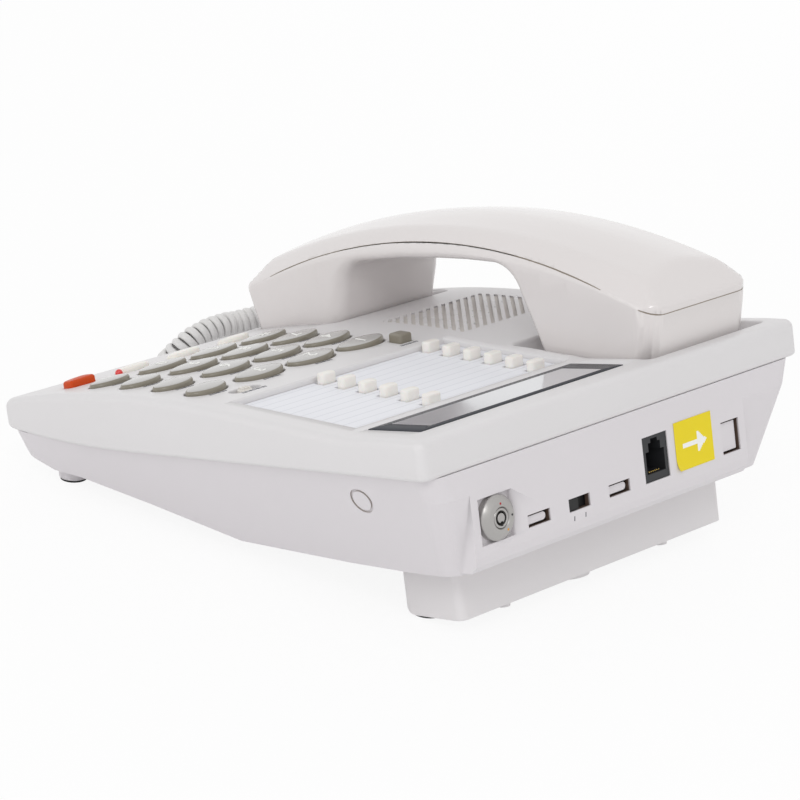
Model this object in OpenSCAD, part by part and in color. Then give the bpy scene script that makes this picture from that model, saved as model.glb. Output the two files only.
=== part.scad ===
// Corded desk telephone: a wedge-shaped base on a rear stand, with a handset lying along its left
// side. +Z is up, +Y points to the back of the base and +X to the right of the person using it.
// Most pieces are drawn in the tilted frame of the base: there z = 0 is the plane where the two
// base shells part, y = 0 is the back edge and y is negative towards the front.

/* [Base] */
// Width of the base over the upper shell
base_w = 199; // [194:1:204]
// Length of the base along its slope
base_l = 222; // [221:1:228]
// Slope of the base, rising to the back
tilt = 13.8; // [13:0.1:15]
// Wall thickness of the base shells
wall = 2.5; // [2:0.1:3]
// Depth of the lower shell under the parting line, at the back
lower_depth = 37.3; // [36:0.1:38]
// Radius of the front corners seen from above
front_corner_r = 8; // [6:0.5:12]
// Radius of the back corners seen from above
back_corner_r = 3.5; // [3:0.5:6]

/* [Top surface] */
// Height of the back rim over the parting line
rim_z = 13.8; // [12:0.1:15]
// Height of the crest of the keypad over the parting line
crest_z = 21.1; // [20:0.1:23]
// Distance of that crest from the back edge
crest_back = 148; // [144:1:152]
// Radius of the keypad's hump seen from the side
hump_r = 450; // [400:10:600]

/* [Keys] */
// Distance between key columns
key_pitch_x = 25.8; // [25:0.1:26.5]
// Distance between key rows along the slope
key_pitch_y = 17.75; // [17.2:0.05:18.2]
// Length of a number key
number_key_l = 22.5; // [20:0.5:23]
// Width of a number key
number_key_w = 11.6; // [10:0.2:12.4]
// Length of a function key
function_key_l = 18; // [15:0.5:20]
// Width of a function key
function_key_w = 10.6; // [9:0.2:11.4]
// Length of a cream key
cream_key_l = 16; // [13:0.5:17]
// Width of a cream key
cream_key_w = 7.6; // [6:0.2:10]
// Length of the orange key
orange_key_l = 12; // [10:0.5:16]
// Width of the orange key
orange_key_w = 5.6; // [5:0.2:8]
// Height of a key over the surface
key_rise = 1.9; // [1.5:0.1:2.4]
// Height of the orange key over the surface
orange_key_rise = 3; // [2:0.1:3.5]
// Travel of a key
key_travel = 1.2; // [0.8:0.1:1.4]
// Gap between a key and its hole
key_gap = 0.4; // [0.3:0.05:0.5]

/* [Memory panel] */
// Distance between the two button columns
memory_pitch_x = 53.9; // [50:0.1:56]
// Distance between buttons in a column
memory_pitch_y = 10.35; // [9.8:0.05:10.6]
// Length of a memory button
memory_button_l = 7; // [6:0.2:9]
// Width of a memory button
memory_button_w = 4; // [3.4:0.2:5]
// How far a memory button stands over the top
memory_rise = 1.6; // [0:0.2:2.4]
// Depth of the card tray under the surface
tray_depth = 3; // [2.6:0.1:3.4]

/* [Handset] */
// Width of the handset
handset_w = 57.5; // [54:0.5:58.5]
// Wall thickness of the handset shells
handset_wall = 2.2; // [1.8:0.1:2.6]
// Height of the handset's crown over the parting plane
crown_z = 60.5; // [59:0.5:63]
// Radius of the crown seen from the side
crown_r = 300; // [280:5:330]
// Height of the handset's own seam at its middle
seam_z = 52.5; // [51.5:0.1:53.5]
// Radius of that seam seen from the side
seam_r = 257; // [250:1:265]
// Depth of the cradle wells' floors, over the parting plane
well_floor_z = 5.5; // [5:0.1:6.5]
// Width of the cradle wells
well_w = 65.5; // [64.5:0.5:66.5]

/* [Speaker] */
// Width of one grille slot
slot_w = 1.5; // [1:0.1:1.8]
// Distance between grille slots
slot_pitch = 3; // [2.6:0.1:3.6]
// Diameter of the loudspeaker
speaker_d = 50; // [40:1:52]

/* [Back panel] */
// Diameter of the lock's bezel
lock_d = 15.8; // [14:0.1:16]
// How far the lock stands out of the panel
lock_head = 2.4; // [1:0.2:3]
// Diameter of the lock's barrel
lock_barrel_d = 12.6; // [11:0.1:13]
// Diameter of the turning lock plug
lock_plug_d = 7.2; // [6:0.1:7.4]
// Width of the line jack's housing
jack_w = 13.2; // [12.6:0.1:13.6]
// Height of the line jack's housing
jack_h = 16.2; // [15.4:0.1:16.6]

/* [Stand] */
// Width of the rear stand at its bottom
stand_w = 140; // [134:1:144]
// Length of the rear stand, front to back
stand_l = 28.6; // [26:0.2:34]
// Depth of the stand's bottom under the parting plane
stand_depth = 56.4; // [54:0.2:60]
// Radius of the stand's lower front edge
stand_edge_r = 7; // [5:0.5:9]
// How far the rubber pads stand out
pad_h = 0.9; // [0.6:0.1:1.5]
// Diameter of the front feet's pads
foot_pad_d = 10; // [9:0.5:12]

/* [Cord] */
// Outer diameter of the coiled cord
coil_d = 10.5; // [9:0.5:11]

/* [Hidden] */
$fn = 48;
back_y = 108.3;              // places the middle of the object's length at y = 0
base_hw = base_w / 2;
lip = 2.5;                   // the upper shell stands out over the lower one
run_gap = 0.3;               // clearance between pieces that move past each other

// Places along the slope, from the back edge
display_front = -38;
display_back = -12;
display_surface_z = 12.9;
memory_front = -104;
hump_steps = 14;              // pieces in the arc over the keypad
parting_bend = -150;         // the parting line starts to rise here
parting_rise = 5.5;          // and ends this high at the front

// Taper of the lower shell: mm inwards for each mm down
side_taper = 0.4;
back_taper = 0.279;
notch_top = 9;                // below this the corners draw back beside the panel

// Keypad
key_x0 = 3.6;
key_row0 = -123.3;
board_top = 9.2;             // top of the main circuit board
mat_h = 1.8;
key_flange = 1.2;
key_skirt = 0.9;             // the flange stands out by this all round
key_names = [
    ["key_1", "key_2", "key_3", "key_fn1"],
    ["key_4", "key_5", "key_6", "key_fn2"],
    ["key_7", "key_8", "key_9", "key_fn3"],
    ["key_star", "key_0", "key_hash", "key_fn4"],
    ["key_cream1", "key_cream2", "key_cream3", "key_orange"]
];
KEYS = [for (r = [0:4]) for (c = [0:3]) [key_names[r][c], c, r]];

// Memory panel, card tray and display
memory_x0 = -9.4;
memory_y0 = -99.6;
memory_rows = 6;
memory_columns = 2;
tray_left = -19.5;
tray_right = 86.5;
tray_y = [-62.6, -2.2];      // front and back of the tray, from the back of its zone
tray_floor = 2;
card_h = 0.8;
card_gap = 0.4;
memory_travel = 1;
button_flange = 1;
MEMORY = [for (c = [0:memory_columns - 1]) for (r = [0:memory_rows - 1])
    [str("memory_", c * memory_rows + r + 1), c, r]];
display_left = -16.5;
display_right = 86.5;
display_l = 25.5;
lens_h = 1.5;
lens_gap = 0.15;
ledge_w = 4.5;               // the rim that the display lens lies on

// Small controls on top
led_x = 64.5;
led_y = -191;
led_d = 3;
push_x = -7.9;
push_y = -113.7;
push_side = 6.6;
push_rise = 3;
push_travel = 1.5;
switch_x = 72.3;
switch_y = -112.5;
switch_slot_l = 14;
switch_slot_w = 5;
switch_knob_l = 6;

// Handset and cradle
handset_x = -57.25;
handset_ear = -7;            // ear end at the seam
handset_mouth = -221;        // mouth end at the seam
handset_mid = -118;          // middle of the crown's arc
handset_seat_gap = 0.3;
handset_bottom = well_floor_z + handset_seat_gap;
ear_corner_r = 8;
mouth_corner_r = 4;
end_seam_z = 31;             // height of the seam at both ends
mouth_lean = 0.32;           // mm outwards for each mm up, at each end
ear_lean = 0.24;
crease_in = 8;               // the bevel's width at each side
crease_drop = 2.6;
bevel_drop = 10;
crown_flat = 10;             // level middle of the crown's section
end_bevel_l = 8;             // length of the bevel at both ends of the crown
ear_bevel = [30.5, 39.5];    // its heights at the end and on the crown
mouth_bevel = [33.5, 41.5];
receiver_y = -35;
microphone_y = -196;
well_x = -58.75;
ear_well = [-75, -8.4];      // front and back of the ear well
mouth_well = [-216.2, -168];
well_wall = 2;
well_corner_r = 3;
hook_y = -36;
hook_stem = 13.5;
plug_z = 17;                 // height of the cord's plug in the handset
plug_w = 7.6;
plug_h = 6.5;
plug_gap = 0.3;
collar_d = 9.2;
collar_l = 7.5;
plug_face = -218.2;          // where the collar starts, in front of the handset

// Speaker grille
grille = [[-85.5, -146], [-30.5, -103]];
speaker_x = -56.5;
speaker_y = -124.5;
speaker_h = 14;
speaker_seat = 3.3;

// Back panel, x and z of each item in the base's frame
panel_face = -0.6;
panel_x = [-65, 79];
panel_bend = -31;
lock_x = 67.4;
lock_z = -19.4;
lock_recess = [16.4, 16];
lock_recess_depth = 1.8;
keyway_d = 5;
blank_x = [47.1, 5.5];
blank_z = -24.7;
blank_size = [11.2, 4.4];
tone_x = 26.5;
tone_z = -24.6;
tone_window = [10.9, 4.6];
tone_knob_l = 4.9;
tone_travel = 5;
jack_x = -15.1;
jack_z = -18.7;
jack_depth = 18;
sticker_x = -35.9;
sticker_z = -18;
sticker_size = [20.6, 17.8];
sticker_h = 0.15;
service_x = -56.5;
service_z = -20.9;
service_size = [10, 11.9];
blank_gap = 0.8;

// Ring mark in the right wall
ring_y = -37.4;
ring_z = -10.2;
ring_r = 4.9;

// Handset jack in the left wall
side_jack_y = -70;
side_jack_z = -13.5;
side_jack_face = -base_hw + 11;
side_jack_w = 13;
side_jack_h = 13;
boot_l = 12;

// Screws and posts
screws_at = [[42.5, -208], [-7.5, -208], [30, -39], [-78, -86]];
screw_r = 1.3;
screw_head_r = 2.7;
boss_r = 3.2;
post_r = 2;
board_posts = [[-13, -201], [90.5, -202], [-13, -122], [90.5, -112]];
board_x = [-15.5, 93];
board_y = [-204, -108];
memory_posts = [[-17.4, -100], [-17.4, -46], [82.5, -100], [82.5, -46]];
stop_gap = 0.4;              // left between a pressed button and what is under it
memory_board_drop = tray_depth + tray_floor + run_gap + button_flange + memory_travel + stop_gap;
board_h = 1.6;

// Stand and feet
stand_x = 1.4;
stand_back = -18.7;
stand_front = stand_back - stand_l;
stand_corner_r = 5;
stand_pad_d = 12;
stand_pads_x = stand_w / 2 - 7.5;
stand_pads_back = 5.5;       // from the stand's front edge to the pads' middle
bumps_x = [-37, 47];
bump_r = 2.2;
bump_drop = 1.4;
boss_x = 7.6;
foot_x = 82.5;
foot_back = -204;

// Height of the parting line at the back edge, so that the rounded edge of the stand clears the
// table by its pads
back_edge_z = pad_h + stand_edge_r - (stand_front + stand_edge_r) * sin(tilt)
    + (stand_depth - stand_edge_r) * cos(tilt);

// Middle of each front foot, where the line through its place on the base meets the table
foot_y = back_y + foot_back * cos(tilt) + (back_edge_z + foot_back * sin(tilt)) * tan(tilt);

// The coiled cord's route in the upright frame, from the handset to the base: it leaves the
// handset forwards, bends over to the right and down, and runs round the left side on the table.
cord_left = -base_hw - 28.5;
cord_turns = [
    [-56, -120.5, 26.3], [-50, -126, 23.8], [-41, -130, 22.2], [-33, -131.5, 22],
    [-26, -133, 20.6], [-20, -134.5, 18], [-15.5, -136.5, 14], [-14, -140, 9.3],
    [-18, -145, 6.2], [-28, -148, 5.5], [-42, -149, 5.5], [-62, -148, 5.5],
    [cord_left + 40, -143, 5.5], [cord_left + 20, -133, 5.5], [cord_left + 8, -116, 5.5],
    [cord_left + 2, -93, 5.5], [cord_left, -68, 5.5], [cord_left, -43, 5.5], [cord_left, -20, 6],
    [cord_left, 0, 9.5], [cord_left + 1, 18, 16.5], [cord_left + 5, 32, 25.5], [cord_left + 14, 41, 33]
];

// ---------------------------------------------------------------- shapes and frames

function arc(c, r, a0, a1, n = 8) =
    [for (i = [0:n]) let (a = a0 + (a1 - a0) * i / n) [c[0] + r * cos(a), c[1] + r * sin(a)]];

function ellipse(a, b, n = 28) =
    [for (i = [0:n - 1]) [a * cos(360 * i / n), b * sin(360 * i / n)]];

// Lower edge of the base's side, from the front to the back
bottom_line = [[-base_l + 9, -6.5], [-base_l + 20, -11.8], [-187, -14], [-154, -22],
    [-112, -lower_depth + 4.1], [-82, -lower_depth + 2.3], [-58, -lower_depth + 0.9],
    [-30, -lower_depth], [-4, -lower_depth]];

// An outline seen from above, with rounded front and back corners
function outline(hw, front, back, r_front, r_back, n = 8) = concat(
    arc([hw - r_back, back - r_back], r_back, 0, 90, n),
    arc([-hw + r_back, back - r_back], r_back, 90, 180, n),
    arc([-hw + r_front, front + r_front], r_front, 180, 270, n),
    arc([hw - r_front, front + r_front], r_front, 270, 360, n));

function between(a, b, t) = a + (b - a) * t;

// Height of the top surface over the parting plane, and its slope, at a place along the base
function surface_z(y) =
    y > display_back ? rim_z :
    y > display_front ? between(rim_z, display_surface_z, share(y, display_back, display_front)) :
    y > memory_front ? between(display_surface_z, hump_z(memory_front), share(y, display_front, memory_front)) :
    hump_z(y);
function share(y, back, front) = (back - y) / (back - front);
function hump_z(y) = crest_z - hump_r + sqrt(pow(hump_r, 2) - pow(y + crest_back, 2));
function surface_tilt(y) = atan((surface_z(y + 0.5) - surface_z(y - 0.5)));
function parting_z(y) = y > parting_bend ? 0 : parting_rise * pow(share(y, parting_bend, -base_l), 2);

// The two ends of a stretch that reaches half to each side of its middle
function span(mid, half) = [mid - half, mid + half];

// The parting line seen from the side, from the front to the back or the other way
parting_at = [-base_l - 3, -210, -195, -180, -165, parting_bend, 5];
function parting_line(up, from_back = false) = let (n = len(parting_at) - 1)
    [for (i = [0:n]) let (y = parting_at[from_back ? n - i : i]) [y, parting_z(y) + up]];

module in_base() translate([0, back_y, back_edge_z]) rotate([tilt, 0, 0]) children();
module on_surface(x, y) translate([x, y, surface_z(y)]) rotate([surface_tilt(y), 0, 0]) children();
module on_panel(x, z) translate([x, panel_face, z]) rotate([90, 0, 0]) children();

// Draws an outline of the side view and stretches it across the base
module across(w, x = 0) translate([x - w / 2, 0, 0]) rotate([90, 0, 90]) linear_extrude(w) children();

module block(x, y, z) translate([x[0], y[0], z[0]]) cube([x[1] - x[0], y[1] - y[0], z[1] - z[0]]);
module slab(size, h) translate([-size[0] / 2, -size[1] / 2, 0]) cube([size[0], size[1], h]);
module stadium(l, w, h) {
    slab([l - w, w], h);
    for (s = [-1, 1]) translate([s * (l - w) / 2, 0, 0]) cylinder(d = w, h = h);
}

// ---------------------------------------------------------------- base shells

// The upper shell's envelope, drawn in by inset at the sides and lowered by drop on top
module upper_envelope(inset, drop, below) {
    intersection() {
        translate([0, 0, -below])
            linear_extrude(40)
                polygon(outline(base_hw - inset, -base_l + inset, -inset,
                    front_corner_r - inset, back_corner_r - inset));
        across(base_w + 20)
            polygon(concat(
                [[5, rim_z - drop]],
                [for (y = [display_back, display_front, memory_front]) [y, surface_z(y) - drop]],
                [for (i = [1:hump_steps]) let (y = between(memory_front, -base_l - 3, i / hump_steps))
                    [y, surface_z(y) - drop]],
                below > 0 ? [[-base_l - 3, -below], [5, -below]] :
                    parting_line(0)));
    }
}

module well(ys, grow, z0, z1) {
    hw = well_w / 2 + grow;
    translate([well_x, 0, z0])
        linear_extrude(z1 - z0)
            polygon(outline(hw, ys[0] - grow, ys[1] + grow, well_corner_r + grow, well_corner_r + grow, 5));
}

function key_l(c, r) =
    r == 4 ? (c == 3 ? orange_key_l : cream_key_l) :
    c == 3 ? function_key_l : number_key_l;
function key_w(c, r) =
    r == 4 ? (c == 3 ? orange_key_w : cream_key_w) :
    c == 3 ? function_key_w : number_key_w;
function key_up(c, r) = r == 4 && c == 3 ? orange_key_rise : key_rise;

module key_outline(c, r, grow) {
    l = key_l(c, r) / 2 + grow;
    w = key_w(c, r) / 2 + grow;
    if (r == 4 && c == 3) {
        polygon(outline(l, -w, w, 1.2 + grow, 1.2 + grow, 4));
    } else {
        polygon(ellipse(l, w));
    }
}

module at_key(c, r) on_surface(key_x0 + c * key_pitch_x, key_row0 - r * key_pitch_y) children();
module at_memory(c, r)
    on_surface(memory_x0 + c * memory_pitch_x, memory_y0 + r * memory_pitch_y) children();

// Everything that hangs under the top: well tubs, tray and display blocks, posts and bosses
module upper_inside() {
    well(ear_well, well_wall, well_floor_z - well_wall, 24);
    well(mouth_well, well_wall, well_floor_z - well_wall, 24);
    memory_zone()
        block([tray_left - 2, tray_right + 2], [tray_y[0] - 2.4, 0.5], [-tray_depth - tray_floor, 0]);
    display_zone() block([display_left - 2, display_right + 2], [-display_l - 2.5, 2], [-2 * lens_h, 0]);
    on_surface(speaker_x, speaker_y)
        translate([0, 0, -speaker_seat])
            cylinder(d = speaker_d + 3, h = speaker_seat);
    for (p = board_posts) translate([p[0], p[1], board_top]) cylinder(r = post_r, h = 12);
    for (p = memory_posts)
        on_surface(p[0], p[1])
            translate([0, 0, -memory_board_drop])
                cylinder(r = post_r, h = 4);
    for (p = screws_at) translate([p[0], p[1], parting_z(p[1])]) cylinder(r = boss_r, h = 20);
}

module memory_zone() translate([0, display_front - 2.5, surface_z(display_front - 2.5)])
    rotate([surface_tilt((display_front + memory_front) / 2), 0, 0]) children();
module display_zone() translate([0, display_back, rim_z])
    rotate([surface_tilt((display_front + display_back) / 2), 0, 0]) children();

module grille_slots() {
    mid = (grille[0] + grille[1]) / 2;
    size = grille[1] - grille[0];
    n = ceil((size[0] + size[1]) / 2 / sqrt(2) / slot_pitch);
    intersection() {
        translate([mid[0], mid[1], 10]) slab(size, 14);
        for (i = [-n:n])
            translate([mid[0], mid[1], 10])
                rotate([0, 0, 45])
                    translate([0, (i + 0.5) * slot_pitch, 0])
                        slab([90, slot_w], 14);
    }
}

module upper_shell() color([0.88, 0.87, 0.86]) in_base() difference() {
    union() {
        difference() {
            upper_envelope(0, 0, 0);
            upper_envelope(wall, wall, 8);
        }
        intersection() {
            upper_envelope(0.5, 0.5, 0);
            upper_inside();
        }
    }
    well(ear_well, 0, well_floor_z, 30);
    well(mouth_well, 0, well_floor_z, 30);
    for (k = KEYS)
        at_key(k[1], k[2])
            translate([0, 0, -9])
                linear_extrude(14)
                    key_outline(k[1], k[2], key_gap);
    memory_zone() block([tray_left, tray_right], tray_y, [-tray_depth, 5]);
    for (m = MEMORY) at_memory(m[1], m[2]) translate([0, 0, -8])
        slab([memory_button_l + 2 * key_gap, memory_button_w + 2 * key_gap], 10);
    display_zone() block([display_left, display_right], [-display_l, 0], [-lens_h, 5]);
    display_zone()
        block([display_left + ledge_w, display_right - ledge_w], [-display_l + ledge_w, -ledge_w], [-5, 5]);
    on_surface(led_x, led_y) translate([0, 0, -5]) cylinder(d = led_d + 0.3, h = 10);
    on_surface(push_x, push_y)
        translate([0, 0, -5])
            slab([push_side + 2 * run_gap, push_side + 2 * run_gap], 10);
    on_surface(switch_x, switch_y) translate([0, 0, -5]) stadium(switch_slot_l, switch_slot_w, 10);
    grille_slots();
    on_surface(speaker_x, speaker_y)
        translate([0, 0, -speaker_seat - 1])
            cylinder(d = speaker_d - 4, h = speaker_seat - wall + 1);
    translate([handset_x, hook_y, -1]) slab([8.6, 6.6], 10);
    translate([handset_x, -base_l, plug_z - collar_d / 2 - 3]) slab([collar_d + 5, 16], 20);
    for (p = screws_at) translate([p[0], p[1], parting_z(p[1]) - 1]) cylinder(r = screw_r + 0.05, h = 9);
}

// The lower shell's envelope, drawn in by inset
module lower_slice(z, inset) {
    hw = base_hw - lip + side_taper * z - inset;
    back = panel_face + back_taper * min(z + notch_top, 0) - inset;
    translate([0, 0, z])
        linear_extrude(0.01)
            polygon(outline(hw, -base_l + lip + inset, back,
                front_corner_r + 2 - inset, back_corner_r + 4 - inset));
}

module lower_side(inset) {
    across(base_w + 20)
        polygon(concat(
            parting_line(inset > 0 ? 9 : 0, true),
            [[-base_l + lip + inset, 3], [-base_l + lip + 1.5 + inset, -1]],
            [for (p = bottom_line) [p[0] + inset / 2, p[1] + inset]],
            [[panel_face - 1.2 - inset, -lower_depth + 2 + inset], [5, -lower_depth + 3 + inset]]));
}

module lower_envelope(inset) {
    intersection() {
        hull() {
            lower_slice(8, inset);
            lower_slice(-notch_top, inset);
            lower_slice(-44, inset);
        }
        lower_side(inset);
    }
}

// The flat panel at the back, square to the parting plane, with its lower edge bent in
module panel_block(inset) {
    across(panel_x[1] - panel_x[0] - 2 * inset, (panel_x[0] + panel_x[1]) / 2)
        polygon([[panel_face - inset, inset > 0 ? 3 : 0], [panel_face - inset, panel_bend],
                 [-1.2 - inset, -33.8 + inset / 2], [-3.6 - inset / 2, -lower_depth + 1.2 + inset],
                 [-20, -lower_depth + 1 + inset], [-20, inset > 0 ? 3 : 0]]);
}

// A closed opening: a tongue of wall, set back and cut free on three sides
module blank(x, z, size, round_tip) {
    on_panel(x, z) translate([0, 0, -1]) slab(size, 1 + wall / 2);
    on_panel(x, z) difference() {
        translate([0, 0, -1]) slab(size, 1 + 2 * wall);
        translate([0, 0, -2]) intersection() {
            slab([size[0], size[1] - 2 * blank_gap], 12);
            translate([blank_gap * 1.6, 0, 0])
                if (round_tip) stadium(size[0], size[1] - 2 * blank_gap, 12);
                else slab(size, 12);
        }
    }
}

module lower_body() difference() {
    union() {
        difference() {
            union() {
                lower_envelope(0);
                panel_block(0);
            }
            lower_envelope(wall);
            panel_block(wall);
        }
        // Screw pillars, and the wall behind the handset's jack
        intersection() {
            lower_envelope(0.5);
            union() {
                for (p = screws_at)
                    translate([p[0], p[1], -45])
                        cylinder(r = boss_r + 1, h = 45 + parting_z(p[1]));
                block([side_jack_face, side_jack_face + 3], span(side_jack_y, 9), span(side_jack_z, 9));
            }
        }
        block([side_jack_face, side_jack_face + 3], span(side_jack_y, 9), [side_jack_z - 9.5, side_jack_z]);
    }
    on_panel(lock_x, lock_z) translate([0, 0, -1]) slab(lock_recess, 1 + lock_recess_depth);
    on_panel(lock_x, lock_z) translate([0, 0, -1]) cylinder(d = lock_barrel_d + 0.2, h = 12);
    for (x = blank_x) blank(x, blank_z, blank_size, true);
    blank(service_x, service_z, service_size, false);
    on_panel(tone_x, tone_z) translate([0, 0, -1]) slab(tone_window, 10);
    on_panel(jack_x, jack_z) translate([0, 0, -1]) slab([jack_w + 0.2, jack_h + 0.2], 10);
    // Opening for the handset's jack in the left wall
    block([-base_hw - 10, side_jack_face], span(side_jack_y, 8), span(side_jack_z, 8));
    block([-base_hw - 10, side_jack_face + 5], span(side_jack_y, side_jack_w / 2 + 0.1),
        span(side_jack_z, side_jack_h / 2 + 0.1));
    // Screw holes with a seat for each head
    for (p = screws_at) translate([p[0], p[1], 0]) {
        translate([0, 0, -50]) cylinder(r = screw_r + 0.3, h = 60);
        translate([0, 0, -50 - 4 + parting_z(p[1])]) cylinder(r = screw_head_r + 0.4, h = 50);
    }
    // Ring mark of a closed cable hole in the right wall
    translate([base_hw - lip + side_taper * ring_z, ring_y, ring_z])
        rotate([0, 90 + atan(side_taper), 0])
            difference() {
                translate([0, 0, -0.6]) cylinder(r = ring_r, h = 2);
                translate([0, 0, -2]) cylinder(r = ring_r - 1, h = 6);
            }
}

module lower_shell() color([0.83, 0.82, 0.83]) {
    in_base() lower_body();
    // Front feet
    difference() {
        for (s = [-1, 1])
            translate([s * foot_x, foot_y, pad_h])
                cylinder(d1 = foot_pad_d + 0.8, d2 = foot_pad_d + 6, h = 16);
        in_base() lower_envelope(wall - 0.5);
        in_base() across(300) polygon([[-300, -6], [-300, 100], [50, 100], [50, -6]]);
    }
}

// ---------------------------------------------------------------- stand, feet and screws

// Everything over the base's lower face, less a sheet as thick as down
module over_base(down) in_base() across(300)
    polygon(concat([for (p = bottom_line) [p[0], p[1] - down]],
        [[60, -lower_depth - down], [60, 90], [-base_l, 90]]));

module stand_block(inset) in_base() intersection() {
    translate([stand_x, 0, -stand_depth - 5])
        linear_extrude(40)
            polygon(outline(stand_w / 2 - inset, stand_front + inset, stand_back - inset,
                stand_corner_r - inset, 3 - inset / 2));
    across(stand_w + 20, stand_x)
        polygon(concat([[stand_back - inset, -10], [stand_front + inset, -10]],
            arc([stand_front + stand_edge_r, -stand_depth + stand_edge_r], stand_edge_r - inset, 180, 270),
            [[stand_back - inset, -stand_depth + inset]]));
}

module at_stand_pads() {
    pads_y = back_y + (stand_front + stand_pads_back) * cos(tilt) + stand_depth * sin(tilt);
    for (s = [-1, 1]) translate([stand_x + s * stand_pads_x, pads_y, 0]) children();
}

module stand() color([0.84, 0.83, 0.83]) difference() {
    union() {
        difference() {
            stand_block(0);
            stand_block(wall);
        }
        intersection() {
            stand_block(0.2);
            at_stand_pads() cylinder(d = stand_pad_d + 4, h = 60);
        }
        // Moulded bosses under the back edge
        in_base()
            for (x = bumps_x)
                translate([x, stand_back - 3.4, -stand_depth - bump_drop])
                    cylinder(r = bump_r, h = 3);
        in_base() translate([boss_x, stand_back - 8, -stand_depth - bump_drop]) cylinder(r = 7, h = 3);
    }
    over_base(0);
    at_stand_pads() translate([0, 0, -1]) cylinder(d = stand_pad_d, h = pad_h + 3.2);
    in_base() translate([boss_x, stand_back - 8, -stand_depth - 2]) cylinder(r = 4.4, h = 2.6);
}

module rubber_pads() color([0.1, 0.1, 0.1]) {
    for (s = [-1, 1]) translate([s * foot_x, foot_y, 0]) cylinder(d = foot_pad_d, h = pad_h);
    at_stand_pads() cylinder(d = stand_pad_d, h = pad_h + 2.2);
}

module screws() color([0.62, 0.62, 0.64]) in_base()
    for (p = screws_at)
        translate([p[0], p[1], parting_z(p[1]) - 4]) {
            translate([0, 0, -1.6]) cylinder(r = screw_head_r, h = 1.6);
            cylinder(r = screw_r, h = 10.5);
        }

// ---------------------------------------------------------------- back panel pieces

module modular_jacks() color([0.25, 0.26, 0.28]) in_base() {
    // Line jack, with a latch notch over a six-way socket
    on_panel(jack_x, jack_z) translate([0, 0, 0.4]) difference() {
        slab([jack_w, jack_h], jack_depth);
        translate([0, -1.4, -1]) slab([9.9, 8], jack_depth - 3);
        translate([0, 4, -1]) slab([6.4, 3.2], jack_depth - 5);
        translate([0, 6.2, -1]) slab([3.6, 1.6], jack_depth - 5);
    }
    // Handset jack in the left wall
    difference() {
        block([side_jack_face + 0.4, side_jack_face + jack_depth], span(side_jack_y, side_jack_w / 2),
            span(side_jack_z, side_jack_h / 2));
        block([side_jack_face - 1, side_jack_face + 13.5], span(side_jack_y, plug_w / 2 + plug_gap),
            span(side_jack_z, plug_h / 2 + plug_gap));
    }
}

module sticker() color([0.93, 0.85, 0.1]) in_base()
    translate([sticker_x, panel_face, sticker_z]) rotate([-90, 0, 0]) slab(sticker_size, sticker_h);

module at_lock() in_base() translate([lock_x, panel_face, lock_z]) rotate([90, 0, 0]) children();

module lock_body() color([0.6, 0.6, 0.62]) at_lock() difference() {
    union() {
        translate([0, 0, -lock_head]) cylinder(d1 = lock_d - 4, d2 = lock_d, h = 1.6);
        translate([0, 0, 1.6 - lock_head]) cylinder(d = lock_d, h = lock_head - 1.6 + lock_recess_depth);
        cylinder(d = lock_barrel_d, h = 16);
    }
    translate([0, 0, -lock_head - 1]) cylinder(d = lock_plug_d + 0.1, h = lock_head + 13);
}

module lock_plug() color([0.75, 0.75, 0.77]) at_lock() difference() {
    translate([0, 0, run_gap - lock_head]) cylinder(d = lock_plug_d, h = lock_head + 11.4);
    // Round keyway, with a slot for the key's tooth
    translate([0, 0, -lock_head - 1]) {
        difference() {
            cylinder(d = keyway_d, h = lock_head + 5);
            cylinder(d = keyway_d - 1.6, h = lock_head + 5);
        }
        translate([0, -1.9, 0]) slab([1.2, 1.6], lock_head + 5);
    }
}

module tone_switch() color([0.08, 0.08, 0.08]) in_base() on_panel(tone_x, tone_z) {
    translate([(tone_window[0] - tone_knob_l) / 2 - run_gap, 0, 0.5])
        slab([tone_knob_l, tone_window[1] - 2 * run_gap], 4);
    translate([tone_travel / 2, 0, wall + run_gap]) slab([tone_window[0] + 6, tone_window[1] + 3], 1.4);
}

// ---------------------------------------------------------------- display, card and boards

module display_lens() color([0.3, 0.31, 0.33]) in_base() display_zone()
    block([display_left + lens_gap, display_right - lens_gap], [-display_l + lens_gap, -lens_gap], [-lens_h, 0]);

module lcd_module() color([0.55, 0.57, 0.58]) in_base() display_zone()
    block([display_left + 2, display_right - 2], [-display_l + 2, -2], [-2 * lens_h - 4, -2 * lens_h]);

module index_card() color([0.93, 0.94, 0.97]) in_base() difference() {
    memory_zone()
        block([tray_left + card_gap, tray_right - card_gap], [tray_y[0] + card_gap, tray_y[1] - card_gap],
            [-tray_depth, -tray_depth + card_h]);
    for (m = MEMORY)
        at_memory(m[1], m[2])
            translate([0, 0, -8])
                slab([memory_button_l + 3 * card_gap, memory_button_w + 3 * card_gap], 10);
}

module main_board() color([0.16, 0.4, 0.22]) in_base() {
    block(board_x, board_y, [board_top - board_h, board_top]);
    memory_zone()
        block([tray_left, tray_right], [tray_y[0] + 1.6, tray_y[1] - 0.8],
            [-memory_board_drop - board_h, -memory_board_drop]);
}

module key_mat() color([0.6, 0.6, 0.6]) in_base() difference() {
    block([board_x[0] + 1, board_x[1] - 1], [board_y[0] + 1, -116], [board_top, board_top + mat_h]);
    for (p = board_posts) translate([p[0], p[1], 0]) cylinder(r = post_r + 0.6, h = 20);
}

module speaker() color([0.2, 0.2, 0.2]) in_base() on_surface(speaker_x, speaker_y)
    translate([0, 0, -speaker_seat - run_gap]) rotate([180, 0, 0]) {
        cylinder(d = speaker_d, h = 3);
        cylinder(d1 = speaker_d - 2, d2 = 26, h = 9);
        cylinder(d = 24, h = speaker_h);
    }

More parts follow.
